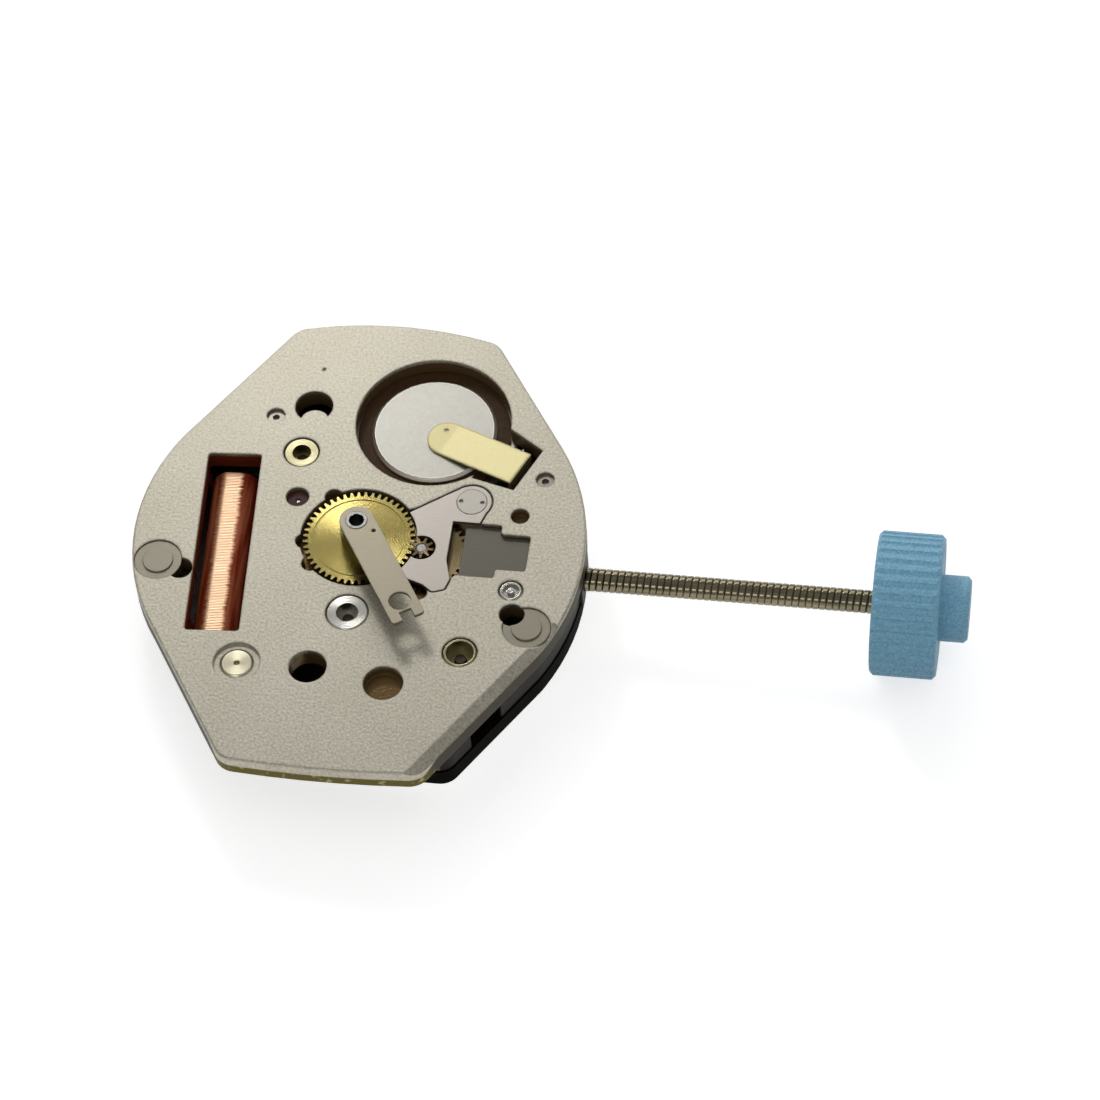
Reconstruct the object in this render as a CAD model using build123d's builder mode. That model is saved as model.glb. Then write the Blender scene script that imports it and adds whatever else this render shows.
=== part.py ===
from build123d import *
import os
from math import cos, pi, radians, sin

# Quartz watch movement, dial side up, in millimetres.
# The hand axis is the origin and the dial would rest on z = 0.
# +X runs out along the stem, +Y points to twelve o'clock.

# Outline of the plate
plate_half_width = 7.55
plate_top = 8.93
plate_bottom = 9.16
top_left_share = (-0.455, 0.948)
top_right_share = (0.46, 0.948)
right_upper_share = (0.822, 0.487)
right_lower_share = (0.872, -0.433)
bottom_right_share = (0.445, -0.985)
bottom_left_share = (-0.417, -0.985)
left_lower_share = (-0.822, -0.463)
left_upper_share = (-0.82, 0.472)
corner_radius = 0.75
shoulder_radius = 3.0
flank_share = 0.72
edge_bevel = 0.05
slope_width = 0.4
slope_drop = 0.15
slope_share = 0.55
lower_lift = 1.25

# Layers from the dial side to the back
flange_thickness = 0.75
rim_height = 0.91
rim_inset = 0.12
rim_width = 0.42
layer_gap = 0.06
frame_height = 0.66
frame_inset = 0.08
frame_width = 0.75
back_thickness = 0.15
back_inset = 0.3

# Fits
running_clearance = 0.02
press_clearance = 0.01
face_clearance = 0.03
overrun = 0.5

# Battery
battery_place = (1.77, 4.94)
battery_radius = 2.9
battery_height = 2.1
cap_radius = 2.12
cap_height = 0.28
cap_bevel = 0.1
can_bevel = 0.12
pocket_clearance = 0.04
pocket_wall = 0.4
battery_hole_radius = 2.64
gasket_height = 0.1

# Gold contact strip on the cap
contact_tip = (2.26, 4.57)
contact_angle = -24.0
contact_width = 1.35
contact_gap = 0.105
contact_rise = 0.2
contact_thickness = 0.08
contact_foot = 0.45
contact_foot_width = 0.9
contact_dimple = 0.07
contact_dimple_place = (-0.2, 0.28)
contact_slot_start = 1.75
contact_slot_margin = 0.4
contact_slot_half = 0.94
contact_slot_mouth_half = 1.2

# Coil
coil_place = (-4.47, -0.58)
coil_tilt = 3.57
window_width = 1.81
window_gap = 0.025
window_radius = 0.12
winding_radius = 0.85
winding_length = 7.15
winding_shift = 0.33
coil_depth = 1.3
core_width = 0.7
core_thickness = 0.3
core_top_reach = 1.055
core_low_reach = 0.495
ear_width = 1.1
ear_length = 0.45
ear_radius = 0.62
stator_thickness = 0.25
stator_spine_width = 0.7
spine_gap = 0.1
rotor_hole_radius = 0.65
rotor_eye_radius = 0.95
terminal_width = 0.8
terminal_thickness = 0.1

# Motion work: wheels between the cannon pinion and the hour wheel
motion_centres = 2.13
minute_axis_angle = -5.7
hour_teeth = 48
minute_pinion_teeth = 9
minute_teeth = 36
cannon_teeth = 16
setting_teeth = 14
motion_recess_radius = 1.97
motion_recess_depth = 0.5
minute_recess_margin = 0.07
lobe_radius = 0.31
lobe_angles = (125.0, 190.0, 220.0)
lobe_reach_shares = (0.965, 0.92, 0.95)
hour_wheel_drop = 0.06
hour_wheel_thickness = 0.12
hour_pipe_radius = 0.6
hour_pipe_rise = 0.5
hour_groove_radius = 1.52
hour_groove_width = 0.05
hour_groove_depth = 0.02
minute_wheel_drop = 0.29
minute_wheel_thickness = 0.11
minute_pinion_drop = 0.03
minute_hub_radius = 0.3
minute_stud_radius = 0.15
stud_drop = 0.04
cannon_radius = 0.345
cannon_bore_radius = 0.25
cannon_height = 0.97
cannon_pinion_drop = 0.25
cannon_pinion_height = 0.18
barrel_radius = 0.45
barrel_end = 0.8
bush_wall = 0.15
bush_lip = 0.03
bush_radius = barrel_radius + running_clearance + bush_wall

# Setting wheel: an upper toothed disc and a lower one on one hub
setting_hub_radius = 0.3
setting_upper_drop = 0.3
setting_upper_thickness = 0.12
setting_lower_drop = 0.85
setting_lower_thickness = 0.2
setting_recess_margin = 0.07
setting_recess_depth = 0.47

# Steel cover over the minute wheel, with its round stud
cover_drop = 0.01
cover_thickness = 0.16
cover_gap = 0.06
cover_arc_radius = 1.93
cover_stud_place = (3.53, 1.78)
cover_boss_radius = 0.66
cover_stud_radius = 0.5
cover_stem_radius = 0.3
cover_opening_radius = 0.48
cover_tip = (1.3, 1.0)
cover_shoulder = (3.2, 2.37)
cover_neck = (4.05, 1.35)
cover_step = (3.92, 0.95)
cover_edge_x = 3.02
cover_waist = (3.02, -0.6)
cover_knee = (3.24, -1.38)
cover_heel = (3.12, -1.8)
cover_sole = (2.72, -1.94)
cover_notch = (2.38, -1.68)
cover_foot = (1.62, -1.42)
cover_corner_radius = 0.1

# Stepped window with its dark keeper plate
step_left = 3.02
step_middle = 4.68
step_right = 5.68
step_upper = 0.93
step_upper_small = 0.57
step_lower_small = -0.87
step_lower = -1.22
step_radius = 0.1
keeper_left = 3.45
keeper_drop = 0.16
keeper_thickness = 0.12
keeper_gap = 0.03

# Arm on the centre tube
arm_angle = -58.0
arm_length = 3.6
arm_width = 1.14
arm_overhang = 0.76
arm_thickness = 0.12
arm_drop_from_tube = 0.02
arm_hole_radius = 0.36
arm_notch_width = 0.42
arm_notch_depth = 0.34
arm_corner_radius = 0.12
arm_mark_place = (0.63, 0.34)
arm_mark_radius = 0.07

# Going train: rotor, intermediate wheel, third wheel, centre wheel
centre_teeth = 60
third_pinion_teeth = 10
centre_module = 0.068
third_teeth = 50
intermediate_pinion_teeth = 10
third_module = 0.06
intermediate_teeth = 27
rotor_pinion_teeth = 9
intermediate_module = 0.065
third_angle = 217.8
intermediate_angle = 106.1
rotor_angle = 86.6
wheel_thickness = 0.1
centre_wheel_level = 0.85
third_wheel_level = 1.1
intermediate_wheel_level = 1.3
pinion_overhang = 0.05
arbor_radius = 0.1
arbor_shake = 0.03
pivot_radius = 0.06
pivot_length = 0.14
magnet_radius = 0.5
magnet_level = 1.47
magnet_height = 0.35
centre_arbor_radius = 0.2
centre_pivot_radius = 0.12
bridge_level = 1.95
bridge_thickness = 0.25
bridge_margin = 0.72
bridge_boss_radius = 0.55
jewel_radius = 0.38
jewel_drop = 0.22
bridge_jewel_radius = 0.3

# Tooth proportions, in modules and in shares of the tooth pitch
addendum_share = 1.0
dedendum_share = 1.2
tooth_foot_share = 0.3
tooth_tip_share = 0.13

# Pillars riveted in the plate, the top and low ones set out from the ends of the winding
centre_pillar_place = (0.08, -3.02)
centre_pillar_radius = 0.71
centre_pillar_mouth = 0.37
top_pillar_x = -2.48
top_pillar_reach = 0.625
top_pillar_radius = 0.61
top_pillar_mouth = 0.32
right_pillar_place = (3.99, -4.23)
right_pillar_radius = 0.58
right_pillar_mouth = 0.46
low_pillar_x = -3.2
low_pillar_reach = 0.835
low_pillar_radius = 0.54
low_pillar_mouth = 0.1
low_pillar_recess_radius = 0.77
low_pillar_recess_depth = 0.1
pillar_body_radius = 0.52
pillar_head_height = 0.3
pillar_mouth_depth = 0.5
pillar_bevel = 0.06
pillar_drop = 0.02
screw_radius = 0.18
screw_hole_radius = 0.21
screw_head_radius = 0.48
screw_head_height = 0.08
screw_slot_width = 0.12
screw_slot_depth = 0.04
screw_tip_depth = 0.38

# Round locks beside the dial-foot holes
right_foot_place = (5.47, -2.59)
left_foot_place = (-5.72, -1.8)
foot_hole_radius = 0.415
right_lock_place = (6.02, -3.05)
left_lock_place = (-6.52, -1.53)
lock_radius = 0.79
lock_thickness = 0.35
lock_top_drop = 0.05
lock_disc_radius = 0.5

# Plain holes in the plate
round_hole_place = (-0.86, -5.27)
round_hole_radius = 0.625
blind_hole_place = (1.69, -5.67)
blind_hole_radius = 0.655
blind_hole_depth = 0.42
kidney_hole_place = (-2.37, 5.23)
kidney_hole_radius = 0.645
kidney_pad_offset = (0.12, -0.66)
kidney_pad_radius = 0.5
small_hole_places = ((5.21, 1.35), (2.28, -2.01))
small_hole_radius = 0.31
small_hole_depth = 0.35
guide_pin_places = ((-3.6, 4.73), (5.84, 2.92))
guide_pin_radius = 0.3
guide_pin_drop = 0.12
guide_pin_dimple = 0.12
dot_place = (-2.28, 6.81)
dot_radius = 0.07
dot_depth = 0.06
side_slot_place = (5.15, -6.22)
side_slot_length = 1.5
side_slot_drop = 0.95
side_slot_angle = 57.7
rim_gap_place = (0.6, -4.8)
rim_gap_width = 3.4
rim_gap_length = 4.2

# Stem and its steps, measured along +X
stem_depth = 1.4
stem_start = 2.7
pilot_radius = 0.175
square_start = 3.45
square_side = 0.42
collar_start = 5.85
collar_radius = 0.35
groove_start = 6.0
groove_length = 0.36
groove_radius = 0.22
shaft_radius = 0.4
thread_start = 7.65
thread_radius = 0.39
thread_depth = 0.06
thread_pitch = 0.225
pilot_block_start = 2.75
pilot_block_length = 0.65
pilot_block_width = 1.0
stem_block_start = 7.0
stem_block_length = 0.5
stem_block_width = 1.5
block_wall = 0.17

# Clutch on the square of the stem
clutch_start = 5.0
clutch_length = 0.65
clutch_radius = 0.5
clutch_groove_start = 0.27
clutch_groove_width = 0.16
clutch_groove_radius = 0.36
clutch_teeth = 12
clutch_tooth_height = 0.12

# Setting lever and yoke
lever_place = (5.31, -1.65)
lever_post_head = 0.41
lever_post_radius = 0.28
lever_level = 0.77
lever_thickness = 0.11
lever_hub_radius = 0.5
lever_arm_radius = 0.19
lever_finger = (6.18, 0.19)
lever_finger_length = 0.3
lever_finger_width = 0.18
yoke_tail = (5.6, 2.3)
yoke_bend = (5.21, 1.35)
yoke_fork = (5.35, 0.12)
yoke_width = 0.36
yoke_tab_width = 0.1

# Knob on the end of the stem
knob_start = 17.12
knob_length = 2.17
knob_radius = 2.39
knob_edge = 0.12
knob_boss_radius = 1.1
knob_boss_length = 0.95
knob_bore_depth = 1.5
flute_count = 36
flute_radius = 0.16
flute_depth = 0.09

# Bosses of the module frame
rib_width = 0.5
right_rib_angle = -32.5
low_rib_angle = 212.6

# Circuit
board_level = 1.92
board_thickness = 0.15
board_inset = 0.95
board_top = 5.5
board_left = 1.4
board_low_left = -0.1
board_low_edge = -5.35
board_strip = 1.0
chip_place = (2.35, -4.45)
chip_width = 1.5
chip_height = 1.2
chip_thickness = 0.28
chip_radius = 0.25
crystal_place = (1.65, -5.95)
crystal_length = 3.2
crystal_radius = 0.5
crystal_level = 1.97
crystal_edge = 0.08
opening_low_left = (-0.3, -6.65)
opening_width = 3.7
opening_height = 3.0

# Strap under the battery
strap_length = 6.2
strap_width = 1.1
strap_angle = 21.2
strap_thickness = 0.08


def plate_point(share):
    """A corner of the plate, from shares of its half width and of its reach up or down."""
    reach = plate_top if share[1] > 0 else plate_bottom
    return (share[0] * plate_half_width, share[1] * reach)


def plate_outline(inset=0):
    """The eight-sided outline with its two round flanks, drawn in by an inset."""
    top_left = plate_point(top_left_share)
    top_right = plate_point(top_right_share)
    right_upper = plate_point(right_upper_share)
    right_lower = plate_point(right_lower_share)
    bottom_right = plate_point(bottom_right_share)
    bottom_left = plate_point(bottom_left_share)
    left_lower = plate_point(left_lower_share)
    left_upper = plate_point(left_upper_share)
    with BuildSketch() as outline:
        with BuildLine():
            ThreePointArc(top_left, (0, plate_top), top_right)
            Line(top_right, right_upper)
            ThreePointArc(right_upper, (plate_half_width, 0), right_lower)
            Line(right_lower, bottom_right)
            ThreePointArc(bottom_right, (0, -plate_bottom), bottom_left)
            Line(bottom_left, left_lower)
            ThreePointArc(left_lower, (-plate_half_width, 0), left_upper)
            Line(left_upper, top_left)
        make_face()
        by_height = outline.vertices().sort_by(Axis.Y)
        fillet(by_height[:2] + by_height[-2:], corner_radius)
        flanks = [v for v in outline.vertices() if abs(v.X) > plate_half_width * flank_share]
        fillet(flanks, shoulder_radius)
        if inset:
            offset(amount=-inset)
    return outline.sketch


def lower_outline(inset=0):
    """The same outline under the flange, drawn back along the bottom and the lower left."""
    with BuildSketch() as room:
        with Locations((0, lower_lift)):
            add(plate_outline())
        with Locations((0, lower_lift - plate_bottom)):
            Rectangle(plate_half_width, plate_top + plate_bottom, align=(Align.MIN, Align.MIN))
    with BuildSketch() as outline:
        add(plate_outline())
        add(room.sketch, mode=Mode.INTERSECT)
        fillet(outline.vertices().sort_by_distance((plate_half_width / 2, -plate_bottom))[0], corner_radius)
        offset(amount=-inset)
    return outline.sketch


def toothed_outline(teeth, module, first_tooth=0):
    """A wheel with straight-flanked teeth, its first tooth at an angle in degrees."""
    pitch_radius = teeth * module / 2
    tip = pitch_radius + addendum_share * module
    foot = pitch_radius - dedendum_share * module
    corners = ((-tooth_foot_share, foot), (-tooth_tip_share, tip), (tooth_tip_share, tip),
               (tooth_foot_share, foot))
    points = []
    for tooth in range(teeth):
        for turn_share, radius in corners:
            angle = radians(first_tooth) + 2 * pi * (tooth + turn_share) / teeth
            points.append((radius * cos(angle), radius * sin(angle)))
    with BuildSketch() as outline:
        with BuildLine():
            Polyline(*points, close=True)
        make_face()
    return outline.sketch


def stepped(place, distance, angle):
    """The point at a distance and an angle from a place."""
    return (place[0] + distance * cos(radians(angle)), place[1] + distance * sin(radians(angle)))


def level(place, depth=0):
    """A horizontal plane through a place, a depth under the dial face."""
    return Plane(origin=(place[0], place[1], -depth))


def turned_level(place, angle, depth=0):
    """A horizontal plane whose x axis points along an angle."""
    return Plane(origin=(place[0], place[1], -depth), x_dir=(cos(radians(angle)), sin(radians(angle)), 0))


# Heights that follow from the layers
rim_end = flange_thickness + rim_height
frame_start = rim_end + layer_gap
frame_end = frame_start + frame_height
back_face = frame_end + back_thickness
cap_top = back_face - battery_height
can_top = cap_top + cap_height
lever_end = lever_level + lever_thickness
board_end = board_level + board_thickness
bridge_end = bridge_level + bridge_thickness
core_start = coil_depth - core_thickness / 2
core_end = core_start + core_thickness
stator_end = core_end + stator_thickness
pocket_radius = battery_radius + pocket_clearance
pocket_outer_radius = pocket_radius + pocket_wall
stem_block_end = stem_depth + shaft_radius + block_wall

# Reach of the contact from its tip to just outside the battery pocket
contact_offset = ((contact_tip[0] - battery_place[0]) * cos(radians(contact_angle))
                  + (contact_tip[1] - battery_place[1]) * sin(radians(contact_angle)))
contact_reach = pocket_outer_radius + contact_gap - contact_offset

# Ends of the winding, and what is set out from them
winding_top = coil_place[1] + winding_length / 2 - winding_shift
winding_low = coil_place[1] - winding_length / 2 - winding_shift
window_length = winding_length + 2 * window_gap
core_top = winding_top - coil_place[1] + core_top_reach
core_bottom = coil_place[1] - winding_low + core_low_reach
top_pillar_place = (top_pillar_x, winding_top + top_pillar_reach)
low_pillar_place = (low_pillar_x, winding_low - low_pillar_reach)

# Wheel axes that follow from the teeth
hour_module = 2 * motion_centres / (hour_teeth + minute_pinion_teeth)
minute_module = 2 * motion_centres / (minute_teeth + cannon_teeth)
minute_tip_radius = minute_module * (minute_teeth / 2 + addendum_share)
setting_tip_radius = minute_module * (setting_teeth / 2 + addendum_share)
hand_axis = (0, 0)
minute_axis = stepped(hand_axis, motion_centres, minute_axis_angle)
setting_axis = stepped(minute_axis, minute_module * (minute_teeth + setting_teeth) / 2, 0)
third_axis = stepped(hand_axis, centre_module * (centre_teeth + third_pinion_teeth) / 2, third_angle)
intermediate_axis = stepped(third_axis, third_module * (third_teeth + intermediate_pinion_teeth) / 2,
                            intermediate_angle)
rotor_axis = stepped(intermediate_axis, intermediate_module * (intermediate_teeth + rotor_pinion_teeth) / 2,
                     rotor_angle)

# Pillars: place, head radius, mouth radius, depth of the lower end, drop of the head
centre_pillar = (centre_pillar_place, centre_pillar_radius, centre_pillar_mouth, bridge_level, pillar_drop)
top_pillar = (top_pillar_place, top_pillar_radius, top_pillar_mouth, core_start, pillar_drop)
right_pillar = (right_pillar_place, right_pillar_radius, right_pillar_mouth, board_level, pillar_drop)
low_pillar = (low_pillar_place, low_pillar_radius, low_pillar_mouth, core_start, low_pillar_recess_depth / 2)
pillars = (centre_pillar, top_pillar, right_pillar, low_pillar)
screw_places = [pillar[0] for pillar in pillars]
screw_head_levels = (back_face, back_face + strap_thickness, back_face, back_face)

# Straight edge at the lower right: the plane across its middle, x outwards
slope_start = plate_point(right_lower_share)
slope_end = plate_point(bottom_right_share)
slope_axis = (slope_start[0] - slope_end[0], slope_start[1] - slope_end[1], 0)
slope_plane = Plane(origin=((slope_start[0] + slope_end[0]) / 2, (slope_start[1] + slope_end[1]) / 2, 0),
                    x_dir=(slope_axis[1], -slope_axis[0], 0), z_dir=(-slope_axis[0], -slope_axis[1], 0))

# Upright plane along the contact strip
contact_section = Plane(origin=(*contact_tip, 0),
                        x_dir=(cos(radians(contact_angle)), sin(radians(contact_angle)), 0),
                        z_dir=(sin(radians(contact_angle)), -cos(radians(contact_angle)), 0))

# Coil frame: its y axis runs along the winding
coil_frame = Location((*coil_place, 0), (0, 0, coil_tilt))
coil_axis = (-sin(radians(coil_tilt)), cos(radians(coil_tilt)), 0)
winding_centre = (coil_place[0] - winding_shift * coil_axis[0], coil_place[1] - winding_shift * coil_axis[1])
winding_plane = Plane(origin=(*winding_centre, -coil_depth),
                      x_dir=(cos(radians(coil_tilt)), sin(radians(coil_tilt)), 0), z_dir=coil_axis)


def cover_outline(gap=0):
    """The steel cover: a plate with a round boss, cut back round the hour wheel."""
    with BuildSketch() as outline:
        with BuildLine():
            Polyline(cover_tip, cover_shoulder, cover_neck, cover_step, (cover_edge_x, cover_step[1]),
                     cover_waist, cover_knee, cover_heel, cover_sole, cover_notch, cover_foot, close=True)
        make_face()
        fillet(outline.vertices().sort_by(Axis.Y)[:3], cover_corner_radius)
        with Locations(cover_stud_place):
            Circle(cover_boss_radius)
        if gap:
            offset(amount=gap)
        Circle(cover_arc_radius - gap, mode=Mode.SUBTRACT)
    return outline.sketch


def step_outline(left, gap=0):
    """The stepped window right of a line, drawn in by a gap."""
    with BuildSketch() as outline:
        with BuildLine():
            Polyline((left, step_upper), (step_middle, step_upper), (step_middle, step_upper_small),
                     (step_right, step_upper_small), (step_right, step_lower_small),
                     (step_middle, step_lower_small), (step_middle, step_lower), (left, step_lower),
                     close=True)
        make_face()
        fillet(outline.vertices(), step_radius)
        if gap:
            offset(amount=-gap)
    return outline.sketch


def coil_ear(end_shift, pillar_place):
    """An ear of the coil's iron, from the end of the bar to a pillar's screw."""
    with BuildSketch() as ear:
        with Locations(coil_frame):
            with Locations((0, end_shift)):
                Rectangle(ear_width, ear_length)
        with Locations(pillar_place):
            Circle(ear_radius)
        make_hull()
        with Locations(pillar_place):
            Circle(screw_hole_radius, mode=Mode.SUBTRACT)
    return ear.sketch


def winding_trough():
    """The room round the winding, seen from above."""
    with BuildSketch() as trough:
        with Locations(coil_frame):
            with Locations((0, -winding_shift)):
                Rectangle(2 * (winding_radius + face_clearance), winding_length + 2 * face_clearance)
    return trough.sketch


def stem_profile():
    """Half section of the stem as (x, radius) points, with one ridge for each turn of the thread."""
    points = [(stem_start, 0), (stem_start, pilot_radius), (square_start, pilot_radius),
              (square_start, arbor_radius), (collar_start, arbor_radius), (collar_start, collar_radius),
              (groove_start, collar_radius), (groove_start, groove_radius),
              (groove_start + groove_length, groove_radius), (groove_start + groove_length, shaft_radius),
              (thread_start, shaft_radius)]
    turns = round((knob_start - thread_start) / thread_pitch)
    for turn in range(turns):
        turn_start = thread_start + turn * thread_pitch
        points.append((turn_start, thread_radius - thread_depth))
        points.append((turn_start + thread_pitch / 2, thread_radius))
    stem_end = knob_start + knob_bore_depth - face_clearance
    points += [(thread_start + turns * thread_pitch, thread_radius - thread_depth),
               (knob_start, thread_radius),
               (stem_end, thread_radius), (stem_end, 0)]
    return points


def contact_slot():
    """The deep slot beside the battery that takes the bent end of the contact."""
    slot_end = contact_reach + contact_slot_margin
    with BuildSketch() as outline:
        with BuildLine():
            Polyline((contact_slot_start, contact_slot_mouth_half), (slot_end, contact_slot_half),
                     (slot_end, -contact_slot_half), (contact_slot_start, -contact_slot_mouth_half),
                     close=True)
        make_face()
    return outline.sketch


def round_bar(place, radius, start, end, target_mode):
    """A round bar or hole between two depths, in the part that is being built."""
    with BuildSketch(level(place, start)) as circle:
        Circle(radius)
    extrude(circle.sketch, amount=start - end, mode=target_mode)


def spread(places, radius, start, depth, target_mode=Mode.SUBTRACT):
    """The same round hole or bar at several places, in the part that is being built."""
    with BuildSketch(Plane.XY.offset(-start)) as circles:
        with Locations(*places):
            Circle(radius)
    extrude(circles.sketch, amount=-depth, mode=target_mode)


def pillar_post(place, radius, mouth, end, drop):
    """A riveted pillar with a bevelled head, a mouth on the dial side and a screw hole behind."""
    with Locations((*place, -drop - pillar_bevel)):
        Cone(radius, radius - pillar_bevel, pillar_bevel, align=(Align.CENTER, Align.CENTER, Align.MIN))
    round_bar(place, radius, drop + pillar_bevel, drop + pillar_head_height, Mode.ADD)
    round_bar(place, pillar_body_radius, drop + pillar_head_height, end, Mode.ADD)
    round_bar(place, mouth, drop, drop + min(pillar_mouth_depth, 2 * mouth), Mode.SUBTRACT)
    round_bar(place, screw_hole_radius, screw_tip_depth, end, Mode.SUBTRACT)


def train_wheel(axis, teeth, module, wheel_level):
    """A thin toothed disc of the going train, bored for its pinion's arbor."""
    with BuildSketch(level(axis, wheel_level)) as disc:
        add(toothed_outline(teeth, module, 180 / teeth))
        Circle(arbor_radius + press_clearance, mode=Mode.SUBTRACT)
    extrude(disc.sketch, amount=-wheel_thickness)


def train_pinion(axis, leaves, module, mesh_level):
    """A pinion on its arbor, with leaves a little wider than the wheel that they turn in."""
    round_bar(axis, arbor_radius, flange_thickness + arbor_shake, bridge_level - arbor_shake, Mode.ADD)
    round_bar(axis, pivot_radius, flange_thickness - pivot_length / 2, bridge_level + pivot_length, Mode.ADD)
    with BuildSketch(level(axis, mesh_level - pinion_overhang)) as leaf_face:
        add(toothed_outline(leaves, module))
    extrude(leaf_face.sketch, amount=-wheel_thickness - 2 * pinion_overhang)


os.makedirs("parts", exist_ok=True)
stem_axis = Axis((0, 0, -stem_depth), (1, 0, 0))


# Main plate: flange, rim, the two blocks that carry the stem, and every opening.
with BuildPart() as main_plate:
    with BuildSketch():
        add(plate_outline())
    extrude(amount=-flange_thickness)
    chamfer(main_plate.faces().sort_by(Axis.Z)[-1].edges(), edge_bevel)
    # The face slopes down along the straight edge at the lower right.
    with BuildSketch(slope_plane):
        with BuildLine():
            Polyline((-slope_width, overrun), (-slope_width, 0), (0, -slope_drop), (overrun, -slope_drop),
                     (overrun, overrun), close=True)
        make_face()
    extrude(amount=slope_share * plate_half_width, both=True, mode=Mode.SUBTRACT)
    with BuildSketch(Plane.XY.offset(-flange_thickness)):
        add(lower_outline(rim_inset))
        add(lower_outline(rim_inset + rim_width), mode=Mode.SUBTRACT)
        with Locations(coil_frame):
            with Locations(rim_gap_place):
                Rectangle(rim_gap_width, rim_gap_length, mode=Mode.SUBTRACT)
    extrude(amount=-rim_height)
    for start, length, width, bore in ((pilot_block_start, pilot_block_length, pilot_block_width,
                                        pilot_radius),
                                       (stem_block_start, stem_block_length, stem_block_width,
                                        shaft_radius)):
        with Locations((start, 0, -flange_thickness)):
            Box(length, width, stem_depth + bore + block_wall - flange_thickness,
                align=(Align.MIN, Align.CENTER, Align.MAX))
        with BuildSketch(Plane.YZ.offset(start - overrun)):
            with Locations((0, -stem_depth)):
                Circle(bore + running_clearance)
        extrude(amount=length + 2 * overrun, mode=Mode.SUBTRACT)
    # The battery is seen through a round hole and sits against the lip behind it.
    spread([battery_place], battery_hole_radius, 0, flange_thickness)
    spread([battery_place], pocket_radius, can_top - press_clearance, rim_end)
    with BuildSketch(turned_level(contact_tip, contact_angle)):
        add(contact_slot())
    extrude(amount=-flange_thickness, mode=Mode.SUBTRACT)
    with BuildSketch(turned_level(coil_place, coil_tilt)):
        RectangleRounded(window_width, window_length, window_radius)
    extrude(amount=-flange_thickness, mode=Mode.SUBTRACT)
    # The winding lies in a trough that reaches a little under the lower end of its window.
    with BuildSketch(Plane.XY.offset(winding_radius + face_clearance - coil_depth)):
        add(winding_trough())
    extrude(amount=coil_depth - winding_radius - face_clearance - flange_thickness, mode=Mode.SUBTRACT)
    # The deep recess of the wheels under the dial, with its three lobes.
    with BuildSketch():
        Circle(motion_recess_radius)
        for angle, reach_share in zip(lobe_angles, lobe_reach_shares):
            with Locations(stepped(hand_axis, motion_recess_radius * reach_share, angle)):
                Circle(lobe_radius)
        with Locations(minute_axis):
            Circle(minute_tip_radius + minute_recess_margin)
    extrude(amount=-motion_recess_depth, mode=Mode.SUBTRACT)
    with BuildSketch():
        add(cover_outline(cover_gap))
    extrude(amount=-cover_drop - cover_thickness, mode=Mode.SUBTRACT)
    with BuildSketch():
        add(step_outline(step_left))
    extrude(amount=-keeper_drop - keeper_thickness, mode=Mode.SUBTRACT)
    spread([setting_axis], setting_tip_radius + setting_recess_margin, 0, setting_recess_depth)
    spread([setting_axis], setting_hub_radius + running_clearance, 0, flange_thickness)
    spread([cover_stud_place], cover_stem_radius + press_clearance, 0, flange_thickness)
    spread([minute_axis], minute_stud_radius + press_clearance, 0, flange_thickness)
    spread([hand_axis], bush_radius + press_clearance, 0, flange_thickness)
    spread([rotor_axis], jewel_radius + press_clearance, 0, flange_thickness)
    spread([third_axis, intermediate_axis], pivot_radius + running_clearance,
           flange_thickness - pivot_length,
           pivot_length)
    for place, radius, mouth, end, drop in pillars:
        spread([place], radius + press_clearance, 0, drop + pillar_head_height)
        spread([place], pillar_body_radius + press_clearance, 0, flange_thickness)
    spread([low_pillar_place], low_pillar_recess_radius, 0, low_pillar_recess_depth)
    spread([lever_place], lever_post_head + press_clearance, 0, pillar_drop + pillar_head_height)
    spread([lever_place], lever_post_radius + press_clearance, 0, flange_thickness)
    spread([right_lock_place, left_lock_place], lock_radius + press_clearance, 0,
           lock_top_drop + lock_thickness)
    spread([right_foot_place, left_foot_place], foot_hole_radius, 0, flange_thickness)
    spread([round_hole_place], round_hole_radius, 0, flange_thickness)
    spread([blind_hole_place], blind_hole_radius, 0, blind_hole_depth)
    spread(small_hole_places, small_hole_radius, 0, small_hole_depth)
    spread(guide_pin_places, guide_pin_radius + press_clearance, 0, flange_thickness)
    spread([dot_place], dot_radius, 0, dot_depth)
    with BuildSketch():
        with Locations(kidney_hole_place):
            Circle(kidney_hole_radius)
        with Locations((kidney_hole_place[0] + kidney_pad_offset[0],
                        kidney_hole_place[1] + kidney_pad_offset[1])):
            Circle(kidney_pad_radius, mode=Mode.SUBTRACT)
    extrude(amount=-flange_thickness, mode=Mode.SUBTRACT)
    # A slot through the rim on the lower right flank.
    with BuildSketch(turned_level(side_slot_place, side_slot_angle, side_slot_drop)):
        Rectangle(side_slot_length, 2 * (rim_inset + rim_width) + overrun)
    extrude(amount=side_slot_drop - rim_end, mode=Mode.SUBTRACT)
main_plate.part.label = "main_plate"
export_step(main_plate.part, "parts/main_plate.step")


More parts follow.
